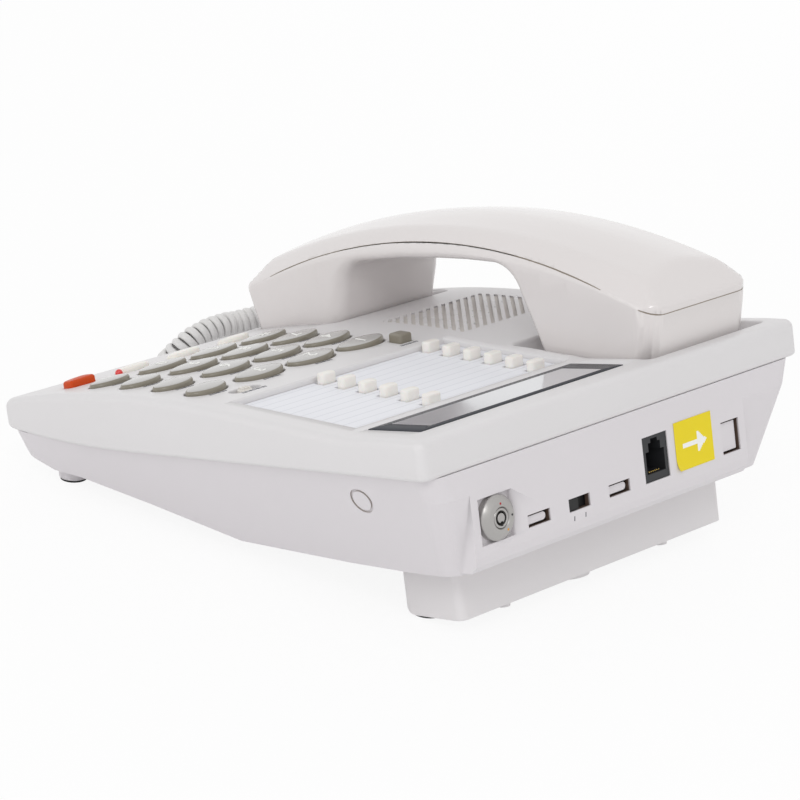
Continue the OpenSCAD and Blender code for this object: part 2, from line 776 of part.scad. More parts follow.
module led() color([0.85, 0.1, 0.08]) in_base() on_surface(led_x, led_y) {
    translate([0, 0, -3.5]) cylinder(d = led_d, h = 4);
    translate([0, 0, 0.5]) sphere(d = led_d);
}

// ---------------------------------------------------------------- keys, buttons and switches

module key(c, r) {
    y = key_row0 - r * key_pitch_y;
    stem = surface_z(y) - board_top - mat_h - key_travel - stop_gap;
    in_base() at_key(c, r) {
        translate([0, 0, -wall - run_gap - key_flange]) {
            linear_extrude(wall + run_gap + key_flange + key_up(c, r)) key_outline(c, r, 0);
            linear_extrude(key_flange) key_outline(c, r, key_skirt);
        }
        translate([0, 0, -stem]) slab([6, 4], stem);
    }
}

module key_color(c, r) {
    color(r == 4 ? (c == 3 ? [0.84, 0.36, 0.12] : [0.93, 0.9, 0.86]) : [0.64, 0.62, 0.61]) children();
}

module memory_button(c, r) color([0.93, 0.91, 0.87]) in_base() at_memory(c, r) {
    floor_under = tray_depth + tray_floor;
    translate([0, 0, -floor_under - run_gap])
        slab([memory_button_l, memory_button_w], floor_under + run_gap + memory_rise);
    translate([0, 0, -floor_under - run_gap - button_flange])
        slab([memory_button_l + 2.4, memory_button_w + 2.4], button_flange);
}

module push_button() color([0.55, 0.54, 0.5]) in_base() on_surface(push_x, push_y) {
    stem = surface_z(push_y) - board_top - push_travel - stop_gap;
    translate([0, 0, -wall - run_gap]) slab([push_side, push_side], wall + run_gap + push_rise);
    translate([0, 0, -wall - run_gap - button_flange])
        slab([push_side + 1.8, push_side + 1.8], button_flange);
    translate([0, 0, -stem]) cylinder(d = 3, h = stem - wall);
}

module function_switch() color([0.9, 0.88, 0.86]) in_base() on_surface(switch_x, switch_y) {
    translate([0, 0, -wall - run_gap]) stadium(switch_knob_l, switch_slot_w - 1.2, wall + run_gap + 0.6);
    translate([0, 0, -wall - run_gap - button_flange])
        slab([switch_slot_l + 6, switch_slot_w + 2], button_flange);
}

module hook_switch() color([0.88, 0.87, 0.86]) in_base() translate([handset_x, hook_y, 0]) {
    translate([0, 0, well_floor_z - hook_stem]) {
        slab([8, 6], hook_stem);
        slab([11, 9], 1.5);
    }
}

// ---------------------------------------------------------------- handset

// Side view of the lower shell: both blocks and the grip between them, under the seam
function grip_opening(t) = concat(
    [[-173 - t, -20], [-173 - t, handset_bottom], [-169 - t, 19], [-164.5 - t, 32]],
    arc([-151, 31], 13.5 + t, 176, 92, 6),
    [[-131, 46 + t], [-111, 46.4 + t], [-97, 46.2 + t]],
    arc([-84.5, 31.5], 14 + t, 84, 12, 6),
    [[-66.5 + t, 24], [-59.5 + t, handset_bottom], [-59.5 + t, -20]]);

// The ends of the handset lean outwards from the bottom up to the seam
function mouth_end(z) = handset_mouth + mouth_lean * (end_seam_z - z);
function ear_end(z) = handset_ear - ear_lean * (end_seam_z - z);

module handset_side(t) {
    low = handset_bottom + t;
    polygon([[ear_end(low) - t, low], [handset_ear - t, end_seam_z], [handset_ear - t, 90],
             [handset_mouth + t, 90], [handset_mouth + t, end_seam_z], [mouth_end(low) + t, low]]);
}

// The handset's outline seen from above
module handset_outline(t, mouth, ear)
    polygon(outline(handset_w / 2 - t, mouth + t, ear - t, mouth_corner_r - t, ear_corner_r - t, 6));

// The handset's leaning sides and ends between two heights
module handset_plan(t, z0, z1) {
    hull()
        for (z = [z0, z1])
            translate([handset_x, 0, z])
                linear_extrude(0.01)
                    handset_outline(t, mouth_end(z), ear_end(z));
}

module seam_cylinder(grow)
    translate([handset_x, handset_mid, seam_z - seam_r])
        rotate([0, 90, 0])
            cylinder(r = seam_r + grow, h = 120, center = true, $fn = 180);

module lower_grip(t) intersection() {
    handset_plan(t, -10, 70);
    across(80, handset_x) handset_side(t);
    seam_cylinder(t > 0 ? 5 : 0);
    difference() {
        translate([handset_x - 40, -230, -20]) cube([80, 230, 100]);
        across(90, handset_x) polygon(grip_opening(t));
    }
}

module handset_lower() color([0.85, 0.84, 0.83]) in_base() difference() {
    lower_grip(0);
    lower_grip(handset_wall);
    // Cord's plug, microphone holes and receiver holes
    block(span(handset_x, plug_w / 2 + plug_gap), [-225, -205], span(plug_z, plug_h / 2 + plug_gap));
    for (i = [-1:1]) translate([handset_x + i * 4, microphone_y, 0]) cylinder(r = 0.9, h = 12);
    for (a = [0:60:300])
        translate([handset_x + 6 * cos(a), receiver_y + 6 * sin(a), 0])
            cylinder(r = 1.1, h = 12);
    translate([handset_x, receiver_y, 0]) cylinder(r = 1.1, h = 12);
}

// The crown: its section is turned about the centre of the arc that it follows
module crown(t) {
    side = handset_w / 2 - t;
    crease = handset_w / 2 - crease_in - t / 2;
    top = crown_r - t;
    translate([handset_x, handset_mid, crown_z - crown_r])
        rotate([0, 90, 0])
            rotate_extrude($fn = 180)
                polygon([[200, -side], [top - bevel_drop, -side], [top - crease_drop, -crease],
                         [top, -crown_flat / 2], [top, crown_flat / 2],
                         [top - crease_drop, crease], [top - bevel_drop, side], [200, side]]);
}

module crown_body(t) intersection() {
    crown(t);
    translate([handset_x, 0, 10])
        linear_extrude(70)
            handset_outline(t, handset_mouth, handset_ear);
    across(80, handset_x)
        polygon([[handset_ear - t, 10], [handset_ear - t, ear_bevel[0]],
                 [handset_ear - end_bevel_l - t, ear_bevel[1] - t / 2], [-40, 80], [-190, 80],
                 [handset_mouth + end_bevel_l + t, mouth_bevel[1] - t / 2],
                 [handset_mouth + t, mouth_bevel[0]], [handset_mouth + t, 10]]);
}

module handset_upper() color([0.89, 0.88, 0.87]) in_base() difference() {
    crown_body(0);
    seam_cylinder(0);
    intersection() {
        crown_body(handset_wall);
        seam_cylinder(6);
    }
    crown_body(handset_wall);
}

module on_handset_floor(y) in_base()
    translate([handset_x, y, handset_bottom + handset_wall + run_gap]) children();

module receiver() color([0.3, 0.3, 0.32]) on_handset_floor(receiver_y) {
    cylinder(d = 36, h = 4);
    cylinder(d = 28, h = 9);
}

module microphone() color([0.3, 0.3, 0.32]) on_handset_floor(microphone_y)
    cylinder(d = 10, h = 6);

module handset_plug() color([0.86, 0.86, 0.85]) in_base() translate([handset_x, plug_face, plug_z]) {
    rotate([90, 0, 0]) cylinder(d = collar_d, h = collar_l);
    translate([-plug_w / 2, 0, -plug_h / 2]) cube([plug_w, 10, plug_h]);
}

// ---------------------------------------------------------------- cord

module base_plug() color([0.86, 0.86, 0.85]) in_base()
    translate([side_jack_face, side_jack_y, side_jack_z]) {
        translate([0, -plug_w / 2, -plug_h / 2]) cube([12, plug_w, plug_h]);
        rotate([0, -90, 0]) cylinder(d = collar_d, h = boot_l);
    }

// A point of the tilted base's frame, in the upright frame
function from_base(p) = [
    p[0],
    back_y + p[1] * cos(tilt) - p[2] * sin(tilt),
    back_edge_z + p[1] * sin(tilt) + p[2] * cos(tilt)];
function unit(v) = v / norm(v);

// The points of a smooth line through a list of points
function spline(p, steps) = [for (i = [0:len(p) - 2]) for (j = [0:steps - 1])
    let (t = j / steps, a = p[max(i - 1, 0)], b = p[i], c = p[i + 1], d = p[min(i + 2, len(p) - 1)])
    0.5 * (2 * b + (c - a) * t + (2 * a - 5 * b + 4 * c - d) * t * t + (3 * b - a - 3 * c + d) * t * t * t)];

cord_start = from_base([handset_x, plug_face - collar_l - run_gap, plug_z]);
cord_end = from_base([side_jack_face - boot_l, side_jack_y, side_jack_z]);
cord_line = concat(spline(concat([cord_start], cord_turns, [cord_end]), 3), [cord_end]);
cord_sides = 10;

module handset_cord() color([0.87, 0.87, 0.86]) {
    n = len(cord_line);
    first = from_base([0, -1, 0]) - from_base([0, 0, 0]);
    last = [1, 0, 0];
    ahead = [for (i = [0:n - 1])
        i == 0 ? first : i == n - 1 ? last : unit(cord_line[i + 1] - cord_line[i - 1])];
    aside = [for (i = [0:n - 1]) unit(cross(ahead[i], [0.05, 0.1, 1]))];
    points = [for (i = [0:n - 1]) for (k = [0:cord_sides - 1])
        let (a = 360 * k / cord_sides, up = cross(aside[i], ahead[i]))
        cord_line[i] + coil_d / 2 * (cos(a) * aside[i] + sin(a) * up)];
    faces = concat(
        [[for (k = [0:cord_sides - 1]) k]],
        [for (i = [0:n - 2]) for (k = [0:cord_sides - 1]) let (m = (k + 1) % cord_sides)
            [i * cord_sides + k, (i + 1) * cord_sides + k, (i + 1) * cord_sides + m, i * cord_sides + m]],
        [[for (k = [cord_sides - 1:-1:0]) (n - 1) * cord_sides + k]]);
    polyhedron(points, faces);
}

// ---------------------------------------------------------------- nodes

upper_shell();
lower_shell();
stand();
rubber_pads();
screws();
modular_jacks();
sticker();
lock_body();
lock_plug();
tone_switch();
display_lens();
lcd_module();
index_card();
main_board();
key_mat();
speaker();
led();
push_button();
function_switch();
hook_switch();
handset_upper();
handset_lower();
receiver();
microphone();
handset_plug();
base_plug();
handset_cord();
for (k = KEYS) key_color(k[1], k[2]) key(k[1], k[2]);
for (m = MEMORY) memory_button(m[1], m[2]);
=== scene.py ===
"""Looks of a corded desk telephone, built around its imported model."""

import logging
import math
from dataclasses import dataclass, field
from enum import Enum
from typing import Callable, Iterable, Sequence

import bmesh
import bpy
from mathutils import Matrix, Vector


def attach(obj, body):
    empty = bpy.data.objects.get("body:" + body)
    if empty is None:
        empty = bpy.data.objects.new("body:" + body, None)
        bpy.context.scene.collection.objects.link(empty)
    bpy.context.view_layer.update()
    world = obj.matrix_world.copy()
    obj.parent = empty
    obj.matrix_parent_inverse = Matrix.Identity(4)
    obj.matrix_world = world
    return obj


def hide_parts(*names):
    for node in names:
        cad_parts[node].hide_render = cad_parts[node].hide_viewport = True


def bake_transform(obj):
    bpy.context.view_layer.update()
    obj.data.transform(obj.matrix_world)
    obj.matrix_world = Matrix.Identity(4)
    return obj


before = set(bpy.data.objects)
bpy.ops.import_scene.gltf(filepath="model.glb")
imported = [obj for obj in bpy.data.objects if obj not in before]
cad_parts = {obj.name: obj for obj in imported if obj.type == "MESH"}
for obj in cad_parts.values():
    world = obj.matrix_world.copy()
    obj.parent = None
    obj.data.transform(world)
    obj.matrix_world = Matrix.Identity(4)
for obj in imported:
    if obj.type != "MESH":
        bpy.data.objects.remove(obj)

LOG = logging.getLogger("telephone")
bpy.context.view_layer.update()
MM = 0.001
AS_DRAWN = Matrix.Identity(4)
WHITE = (1.0, 1.0, 1.0, 1.0)
Point = tuple[float, float]
Ring = list[tuple[float, float, float]]
Colour = tuple[float, float, float]


# ------------------------------------------------------------------ the base's own frame


@dataclass(frozen=True)
class BaseFrame:
    """The sloping frame of the base, in millimetres, as the construction draws it.

    Its z = 0 is the plane where the two casings part, y = 0 is the back edge, and y is negative
    towards the front.
    """

    tilt: float = 13.8
    back_y: float = 108.3
    back_edge_z: float = 65.487
    half_width: float = 99.5
    length: float = 222.0
    rim_z: float = 13.8
    display_z: float = 12.9
    crest_z: float = 21.1
    crest_back: float = 148.0
    hump_r: float = 450.0
    display_back: float = -12.0
    display_middle: float = -25.0
    display_front: float = -38.0
    tray_back: float = -40.5
    tray_middle: float = -71.0
    memory_front: float = -104.0
    parting_bend: float = -150.0
    parting_rise: float = 5.5

    def matrix(self) -> Matrix:
        """The change from this frame, in millimetres, to the upright frame in metres."""
        place = Matrix.Translation((0, self.back_y, self.back_edge_z))
        return Matrix.Scale(MM, 4) @ place @ Matrix.Rotation(math.radians(self.tilt), 4, "X")

    def hump(self, y: float) -> float:
        """Height of the keypad's round hump."""
        return self.crest_z - self.hump_r + math.sqrt(self.hump_r**2 - (y + self.crest_back) ** 2)

    def surface(self, y: float) -> float:
        """Height of the top surface at a place along the base.

        Args:
            y: Place along the base, in millimetres.

        Returns:
            The height over the parting plane, in millimetres.
        """
        if y > self.display_back:
            return self.rim_z
        if y > self.display_front:
            share = (self.display_back - y) / (self.display_back - self.display_front)
            return self.rim_z + (self.display_z - self.rim_z) * share
        if y > self.memory_front:
            share = (self.display_front - y) / (self.display_front - self.memory_front)
            return self.display_z + (self.hump(self.memory_front) - self.display_z) * share
        return self.hump(y)

    def slope(self, y: float) -> float:
        """Slope of the top surface there, in radians."""
        return math.atan(self.surface(y + 0.5) - self.surface(y - 0.5))

    def parting(self, y: float) -> float:
        """Height of the line where the two casings meet.

        Args:
            y: The place along the base.

        Returns:
            The height.
        """
        if y > self.parting_bend:
            return 0.0
        share = (self.parting_bend - y) / (self.parting_bend + self.length)
        return self.parting_rise * share ** 2

    def at_surface(self, x: float, y: float) -> Matrix:
        """Place on the top surface, with z square to it."""
        return Matrix.Translation((x, y, self.surface(y))) @ Matrix.Rotation(self.slope(y), 4, "X")

    def at_display(self, x: float) -> Matrix:
        """Place on the back edge of the display's slope."""
        place = Matrix.Translation((x, self.display_back, self.rim_z))
        return place @ Matrix.Rotation(self.slope(self.display_middle), 4, "X")

    def at_tray(self) -> Matrix:
        """Place on the back edge of the card tray's slope, in the middle of the base."""
        place = Matrix.Translation((0, self.tray_back, self.surface(self.tray_back)))
        return place @ Matrix.Rotation(self.slope(self.tray_middle), 4, "X")


BASE = BaseFrame()


# ------------------------------------------------------------------ shader parts


def srgb(red: float, green: float, blue: float) -> Colour:
    """A colour as a screen shows it, 0 to 255, turned linear."""
    return tuple(((c / 255 + 0.055) / 1.055) ** 2.4 if c > 10 else c / 3295
                 for c in (red, green, blue))


class Nodes:
    """A small hand for building node trees."""

    def __init__(self, tree: bpy.types.NodeTree) -> None:
        """Takes the tree to build in."""
        self.tree = tree

    def add(self, kind: str, inputs: dict | None = None, **settings: object) -> bpy.types.Node:
        """Adds a node.

        Args:
            kind: The node's Blender type.
            inputs: Socket name or index to a value, or to a socket that is linked to it.
            settings: Properties of the node itself.

        Returns:
            The new node.
        """
        node = self.tree.nodes.new(kind)
        for name, value in settings.items():
            setattr(node, name, value)
        for name, value in (inputs or {}).items():
            if isinstance(value, bpy.types.NodeSocket):
                self.tree.links.new(value, node.inputs[name])
            else:
                node.inputs[name].default_value = value
        return node

    def math(self, operation: str, *values: object) -> bpy.types.NodeSocket:
        """Adds a Math node and gives its output."""
        return self.add("ShaderNodeMath", dict(enumerate(values)), operation=operation).outputs[0]

    def blend(self, factor: object, first: object, second: object,
              how: str = "MIX") -> bpy.types.NodeSocket:
        """Mixes two colours and gives the result.

        Args:
            factor: Share of the second colour, or a socket that gives it.
            first: The first colour or socket.
            second: The second colour or socket.
            how: The blend type.

        Returns:
            The mixed colour's socket.
        """
        node = self.add("ShaderNodeMix", {"Factor": factor}, data_type="RGBA", blend_type=how)
        for socket, value in ((node.inputs[6], first), (node.inputs[7], second)):
            if isinstance(value, bpy.types.NodeSocket):
                self.tree.links.new(value, socket)
            else:
                socket.default_value = (*value[:3], 1.0)
        return node.outputs[2]

    def along(self, vector: bpy.types.NodeSocket, way: Sequence[float]) -> bpy.types.NodeSocket:
        """How far a vector reaches in a direction.

        Args:
            vector: The vector's socket.
            way: The direction.

        Returns:
            The distance's socket.
        """
        node = self.add("ShaderNodeVectorMath", {0: vector, 1: way}, operation="DOT_PRODUCT")
        return node.outputs["Value"]


SLOW_SCALE = 14.0
HAZE_SCALE = 60.0
SPECK_SCALE = 45.0
PIT_SHARE = 0.6
BARE_SHARE = 0.93
DUST = (0.12, 0.1, 0.08)
DUST_SHARE = 0.35
COAT_ROUGH = 0.08
SOFT_DEPTH = 0.002


def grain_group() -> bpy.types.NodeTree:
    """Moulded surface shared by all plastics: fine grain, slow changes of tone, and specks of dust.

    Returns:
        A group with outputs Height, Tone (-1 to 1), Haze (0 to 1) and Speck (0 or 1).
    """
    name = "moulded_grain"
    if name in bpy.data.node_groups:
        return bpy.data.node_groups[name]
    tree = bpy.data.node_groups.new(name, "ShaderNodeTree")
    for socket, kind in (("Vector", "NodeSocketVector"), ("Grain Size", "NodeSocketFloat"),
                         ("Speck Size", "NodeSocketFloat")):
        tree.interface.new_socket(socket, in_out="INPUT", socket_type=kind)
    for socket in ("Height", "Tone", "Haze", "Speck"):
        tree.interface.new_socket(socket, in_out="OUTPUT", socket_type="NodeSocketFloat")
    n = Nodes(tree)
    start = n.add("NodeGroupInput")
    end = n.add("NodeGroupOutput")
    vector = start.outputs["Vector"]
    fine = n.math("DIVIDE", 1.0, start.outputs["Grain Size"])
    grain = n.add("ShaderNodeTexNoise", {"Vector": vector, "Scale": fine, "Detail": 2.0})
    pits = n.add("ShaderNodeTexVoronoi",
                 {"Vector": vector, "Scale": n.math("MULTIPLY", fine, PIT_SHARE)})
    height = n.math("MULTIPLY_ADD", pits.outputs["Distance"], 0.5, grain.outputs["Fac"])
    slow = n.add("ShaderNodeTexNoise", {"Vector": vector, "Scale": SLOW_SCALE, "Detail": 3.0})
    tone = n.math("MULTIPLY_ADD", slow.outputs["Fac"], 2.0, -1.0)
    haze = n.add("ShaderNodeTexNoise", {"Vector": vector, "Scale": HAZE_SCALE, "Detail": 4.0})
    dots = n.add("ShaderNodeTexVoronoi", {"Vector": vector, "Scale": SPECK_SCALE})
    share = n.add("ShaderNodeSeparateColor", {0: dots.outputs["Color"]}).outputs[0]
    chosen = n.math("GREATER_THAN", share, BARE_SHARE)
    small = n.math("LESS_THAN", dots.outputs["Distance"], start.outputs["Speck Size"])
    for socket, value in (("Height", height), ("Tone", tone), ("Haze", haze.outputs["Fac"]),
                          ("Speck", n.math("MULTIPLY", chosen, small))):
        tree.links.new(value, end.inputs[socket])
    return tree


@dataclass(frozen=True)
class Finish:
    """One moulded, painted or plated finish, with lengths in millimetres."""

    name: str
    colour: Colour
    rough: float = 0.4
    rough_spread: float = 0.08
    tone: float = 0.03
    tint: Colour = (0.55, 0.5, 0.44)
    grain: float = 0.45
    grain_height: float = 0.01
    speck: float = 0.0
    metallic: float = 0.0
    coat: float = 0.0
    ior: float = 1.45
    glow: float = 0.0
    subsurface: float = 0.0

    def pattern(self, n: Nodes, vector: bpy.types.NodeSocket, colour: object) -> object:
        """Draws a pattern over the base colour; a plain finish has none."""
        return colour

    def material(self) -> bpy.types.Material:
        """Builds the material, or gives the one that is already built.

        Returns:
            The material.
        """
        name = self.name + "_finish"
        if name in bpy.data.materials:
            return bpy.data.materials[name]
        made = bpy.data.materials.new(name)
        made.use_nodes = True
        made.node_tree.nodes.clear()
        n = Nodes(made.node_tree)
        vector = n.add("ShaderNodeTexCoord").outputs["Object"]
        grain = n.add("ShaderNodeGroup", node_tree=grain_group())
        made.node_tree.links.new(vector, grain.inputs["Vector"])
        grain.inputs["Grain Size"].default_value = self.grain * MM
        grain.inputs["Speck Size"].default_value = self.speck
        base = self.pattern(n, vector, self.colour)
        darker = n.blend(1.0, base, self.tint, "MULTIPLY")
        share = n.math("MULTIPLY", n.math("ABSOLUTE", grain.outputs["Tone"]), self.tone)
        colour = n.blend(share, base, darker)
        colour = n.blend(n.math("MULTIPLY", grain.outputs["Speck"], DUST_SHARE), colour, DUST)
        least = self.rough - self.rough_spread / 2
        rough = n.math("MULTIPLY_ADD", grain.outputs["Haze"], self.rough_spread, least)
        bump = n.add("ShaderNodeBump", {"Strength": 1.0, "Distance": self.grain_height * MM,
                                        "Height": grain.outputs["Height"]})
        shader = n.add("ShaderNodeBsdfPrincipled", {
            "Base Color": colour, "Roughness": rough, "Normal": bump.outputs["Normal"],
            "Metallic": self.metallic, "IOR": self.ior, "Coat Weight": self.coat,
            "Coat Roughness": COAT_ROUGH, "Emission Color": (*self.colour, 1.0),
            "Emission Strength": self.glow, "Subsurface Weight": self.subsurface,
            "Subsurface Scale": SOFT_DEPTH})
        n.add("ShaderNodeOutputMaterial", {"Surface": shader.outputs[0]})
        made.diffuse_color = (*self.colour, 1.0)
        return made


@dataclass(frozen=True)
class RuledCard(Finish):
    """Paper card with faint ruled lines, square to the slope that it lies on."""

    lean: float = 0.0
    pitch: float = 5.175
    line: float = 0.35
    ink: Colour = srgb(150, 152, 165)
    ink_share: float = 0.3

    def pattern(self, n: Nodes, vector: bpy.types.NodeSocket, colour: object) -> object:
        """Rules lines across the card.

        Args:
            n: The material's nodes.
            vector: Object coordinates.
            colour: The base colour.

        Returns:
            The colour with its pattern.
        """
        uphill = (0, math.cos(self.lean), math.sin(self.lean))
        along = n.along(vector, uphill)
        step = n.math("FRACT", n.math("DIVIDE", along, self.pitch * MM))
        rule = n.math("LESS_THAN", step, self.line / self.pitch)
        return n.blend(n.math("MULTIPLY", rule, self.ink_share), colour, self.ink)


@dataclass(frozen=True)
class GapShade(Finish):
    """White plastic with painted shade, darker with depth, in the back panel's narrow gaps."""

    # Colour of the painted shade deep in the gaps.
    deep: Colour = (0.117, 0.076, 0.058)
    start: float = 0.9
    blur: float = 0.7

    def pattern(self, n: Nodes, vector: bpy.types.NodeSocket, colour: object) -> object:
        """Paints shade on the walls behind the panel's face, darker with depth.

        Args:
            n: The material's nodes.
            vector: Object coordinates.
            colour: The base colour.

        Returns:
            The colour with its pattern.
        """
        out = BASE.matrix().to_3x3() @ Vector((0, 1, 0))
        out.normalize()
        face = out.dot(BASE.matrix().translation) / MM
        depth = n.math("MULTIPLY_ADD", n.along(vector, tuple(out)), -1 / MM, face - self.start)
        share = n.math("MINIMUM", n.math("MAXIMUM", n.math("DIVIDE", depth, self.blur), 0.0), 1.0)
        return n.blend(share, colour, self.deep)


class Finishes(Enum):
    """Every finish of the telephone."""

    SHELL = Finish("shell_white", srgb(223, 221, 222), rough=0.36, grain=0.5, grain_height=0.006,
                   speck=0.02)
    HANDSET = Finish("handset_white", srgb(225, 220, 219), rough=0.22, grain=0.6,
                     grain_height=0.003, coat=0.5)
    UNDER = Finish("under_white", srgb(221, 217, 220), rough=0.42, grain=0.5, grain_height=0.008,
                   speck=0.02)
    STAND = Finish("stand_white", srgb(226, 223, 224), rough=0.42, grain=0.5, grain_height=0.008)
    # Painted shade: a darker brown for the walls of the handset's seam groove, where shade falls.
    SEAM = Finish("seam_painted_shade", srgb(150, 140, 128), rough=0.6, tone=0.1)
    # Painted shade that darkens the walls of the back panel's narrow gaps with depth.
    GAP_SHADE = GapShade("gap_painted_shade", srgb(221, 217, 220), rough=0.6, tone=0.05)
    RING = Finish("ring_shade", srgb(176, 168, 163), rough=0.6, tone=0.1)
    PRINT = Finish("print_grey", srgb(92, 92, 98), rough=0.6, tone=0.2)
    CLOTH = Finish("grille_cloth", srgb(218, 214, 209), rough=0.8, grain=0.8, grain_height=0.05,
                   tone=0.15)
    # Key tops: the key's own grey, painted lighter and greyer than the olive sides as painted
    # reflection of the white surroundings.
    KEY_TOP_WITH_PAINTED_REFLECTION = Finish("key_grey", srgb(182, 180, 178), rough=0.2, coat=0.4, grain_height=0.003,
                     tone=0.08)
    KEY_SIDE = Finish("key_edge", srgb(134, 128, 115), rough=0.34, coat=0.2, tone=0.1)
    CREAM = Finish("key_cream", srgb(240, 236, 229), rough=0.3, coat=0.2, subsurface=0.05)
    TAB = Finish("tab_white", srgb(240, 237, 232), rough=0.35, coat=0.1, subsurface=0.05)
    ORANGE = Finish("key_orange", srgb(206, 70, 4), rough=0.3, ior=1.35, tone=0.1)
    LEGEND = Finish("legend_white", srgb(243, 243, 240), rough=0.4)
    LED = Finish("lamp_red", srgb(205, 16, 14), rough=0.12, coat=1.0, glow=0.15, tone=0.1)
    KNOB = Finish("switch_cream", srgb(226, 222, 216), rough=0.35, coat=0.1)
    LENS = Finish("lens_dark", srgb(62, 64, 70), rough=0.16, ior=1.08, tone=0.1, rough_spread=0.03,
                  grain_height=0.001)
    LCD = Finish("lcd_grey", srgb(176, 177, 184), rough=0.12, coat=1.0, tone=0.15,
                 rough_spread=0.03, grain_height=0.001)
    CARD = RuledCard("index_card", srgb(236, 237, 242), rough=0.6, grain=0.3,
                     lean=math.radians(BASE.tilt) + BASE.slope(-70))
    BLACK = Finish("jack_black", srgb(42, 43, 46), rough=0.45, tone=0.2)
    DEEP = Finish("switch_black", srgb(20, 20, 21), rough=0.5, tone=0.2)
    RUBBER = Finish("rubber_black", srgb(28, 27, 27), rough=0.75, grain=0.35, grain_height=0.03,
                    tone=0.2)
    NICKEL = Finish("worn_nickel", srgb(176, 174, 172), rough=0.38, rough_spread=0.2, metallic=0.85,
                    tone=0.35, grain=0.2, grain_height=0.004)
    BRASS = Finish("contact_gold", srgb(214, 184, 110), rough=0.25, metallic=1.0, tone=0.1)
    YELLOW = Finish("label_yellow", srgb(236, 214, 8), rough=0.5, tone=0.12, tint=(0.8, 0.7, 0.3))
    CORD = Finish("cord_white", srgb(226, 225, 224), rough=0.4, grain=0.3, grain_height=0.006)
    STEEL = Finish("screw_steel", srgb(170, 170, 172), rough=0.3, metallic=1.0, tone=0.2)
    BOARD = Finish("board_green", srgb(60, 118, 76), rough=0.4, coat=0.4, tone=0.2)
    MAT = Finish("mat_grey", srgb(165, 165, 163), rough=0.6, tone=0.1)
    MODULE = Finish("module_grey", srgb(70, 72, 76), rough=0.5, tone=0.2)
    DOT_RED = Finish("mark_red", srgb(170, 30, 30), rough=0.4)
    DOT_BLACK = Finish("mark_black", srgb(35, 35, 38), rough=0.4)
    DOT_AMBER = Finish("mark_amber", srgb(214, 150, 40), rough=0.4)

    def material(self) -> bpy.types.Material:
        """The finish's material."""
        return self.value.material()


# ------------------------------------------------------------------ mesh helpers


SPUN_MERGE = 1e-5
COPY_MERGE = 0.002
FLAT_ANGLE = math.radians(0.6)


def set_ring(verts: Sequence[bmesh.types.BMVert], ring: Ring) -> None:
    """Moves a ring of vertices to the given points."""
    for vert, point in zip(verts, ring):
        vert.co = point


def loft(bm: bmesh.types.BMesh, rings: Sequence[Ring], matrix: Matrix | None = None,
         marks: Sequence[int] | None = None) -> None:
    """Extrudes a first ring of points through the rest and closes both ends.

    Args:
        bm: The mesh that the new solid joins.
        rings: The rings from the bottom up, anticlockwise from above, all with as many points.
        matrix: Place of the solid.
        marks: The material index of the faces under each ring but the first.
    """
    count = len(rings[0])
    made = bmesh.ops.create_circle(bm, cap_ends=True, segments=count, radius=1.0)
    verts = made["verts"]
    set_ring(verts, rings[0])
    first = next(f for f in verts[0].link_faces)
    bmesh.ops.reverse_faces(bm, faces=[first])
    everything = list(verts)
    for index, ring in enumerate(rings[1:]):
        edges = [bm.edges.get((verts[i], verts[(i + 1) % count])) for i in range(count)]
        grown = bmesh.ops.extrude_edge_only(bm, edges=edges)["geom"]
        new = {v for v in grown if isinstance(v, bmesh.types.BMVert)}
        verts = [next(e.other_vert(v) for e in v.link_edges if e.other_vert(v) in new)
                 for v in verts]
        set_ring(verts, ring)
        for face in (f for f in grown if isinstance(f, bmesh.types.BMFace)):
            face.material_index = marks[index] if marks else 0
        everything += verts
    top = bm.faces.new(verts)
    top.material_index = marks[-1] if marks else 0
    if matrix is not None:
        bmesh.ops.transform(bm, matrix=matrix, verts=everything)


def rounded_outline(hw: float, front: float, back: float, r_front: float, r_back: float,
                    steps: int = 6) -> list[Point]:
    """An anticlockwise rectangle with round corners.

    Args:
        hw: Half of its width.
        front: Its lowest y.
        back: Its highest y.
        r_front: Radius of the two corners at the front.
        r_back: Radius of the two corners at the back.
        steps: Pieces in each corner's arc.

    Returns:
        Its points.
    """
    corners = ((hw - r_back, back - r_back, r_back, 0), (r_back - hw, back - r_back, r_back, 90),
               (r_front - hw, front + r_front, r_front, 180),
               (hw - r_front, front + r_front, r_front, 270))
    points = []
    for x, y, r, start in corners:
        for i in range(steps + 1):
            a = math.radians(start + 90 * i / steps)
            points.append((x + r * math.cos(a), y + r * math.sin(a)))
    return points


def box_outline(length: float, width: float, r: float, steps: int = 5) -> list[Point]:
    """A centred rectangle with round corners."""
    r = max(min(r, length / 2 - 0.01, width / 2 - 0.01), 0.01)
    return rounded_outline(length / 2, -width / 2, width / 2, r, r, steps)


def oval_outline(length: float, width: float, count: int = 48, point: float = 0.22) -> list[Point]:
    """A centred oval whose ends are drawn out to blunt points.

    Args:
        length: Its size in x.
        width: Its size in y.
        count: Number of points.
        point: How blunt the ends are; 0 gives an ellipse.

    Returns:
        Its points.
    """
    result = []
    for i in range(count):
        a = math.tau * i / count
        squeeze = abs(math.sin(a)) ** point
        result.append((length / 2 * math.cos(a), width / 2 * math.sin(a) * squeeze))
    return result


def ring_at(outline: Iterable[Point], z: float) -> Ring:
    """A flat ring of points."""
    return [(x, y, z) for x, y in outline]


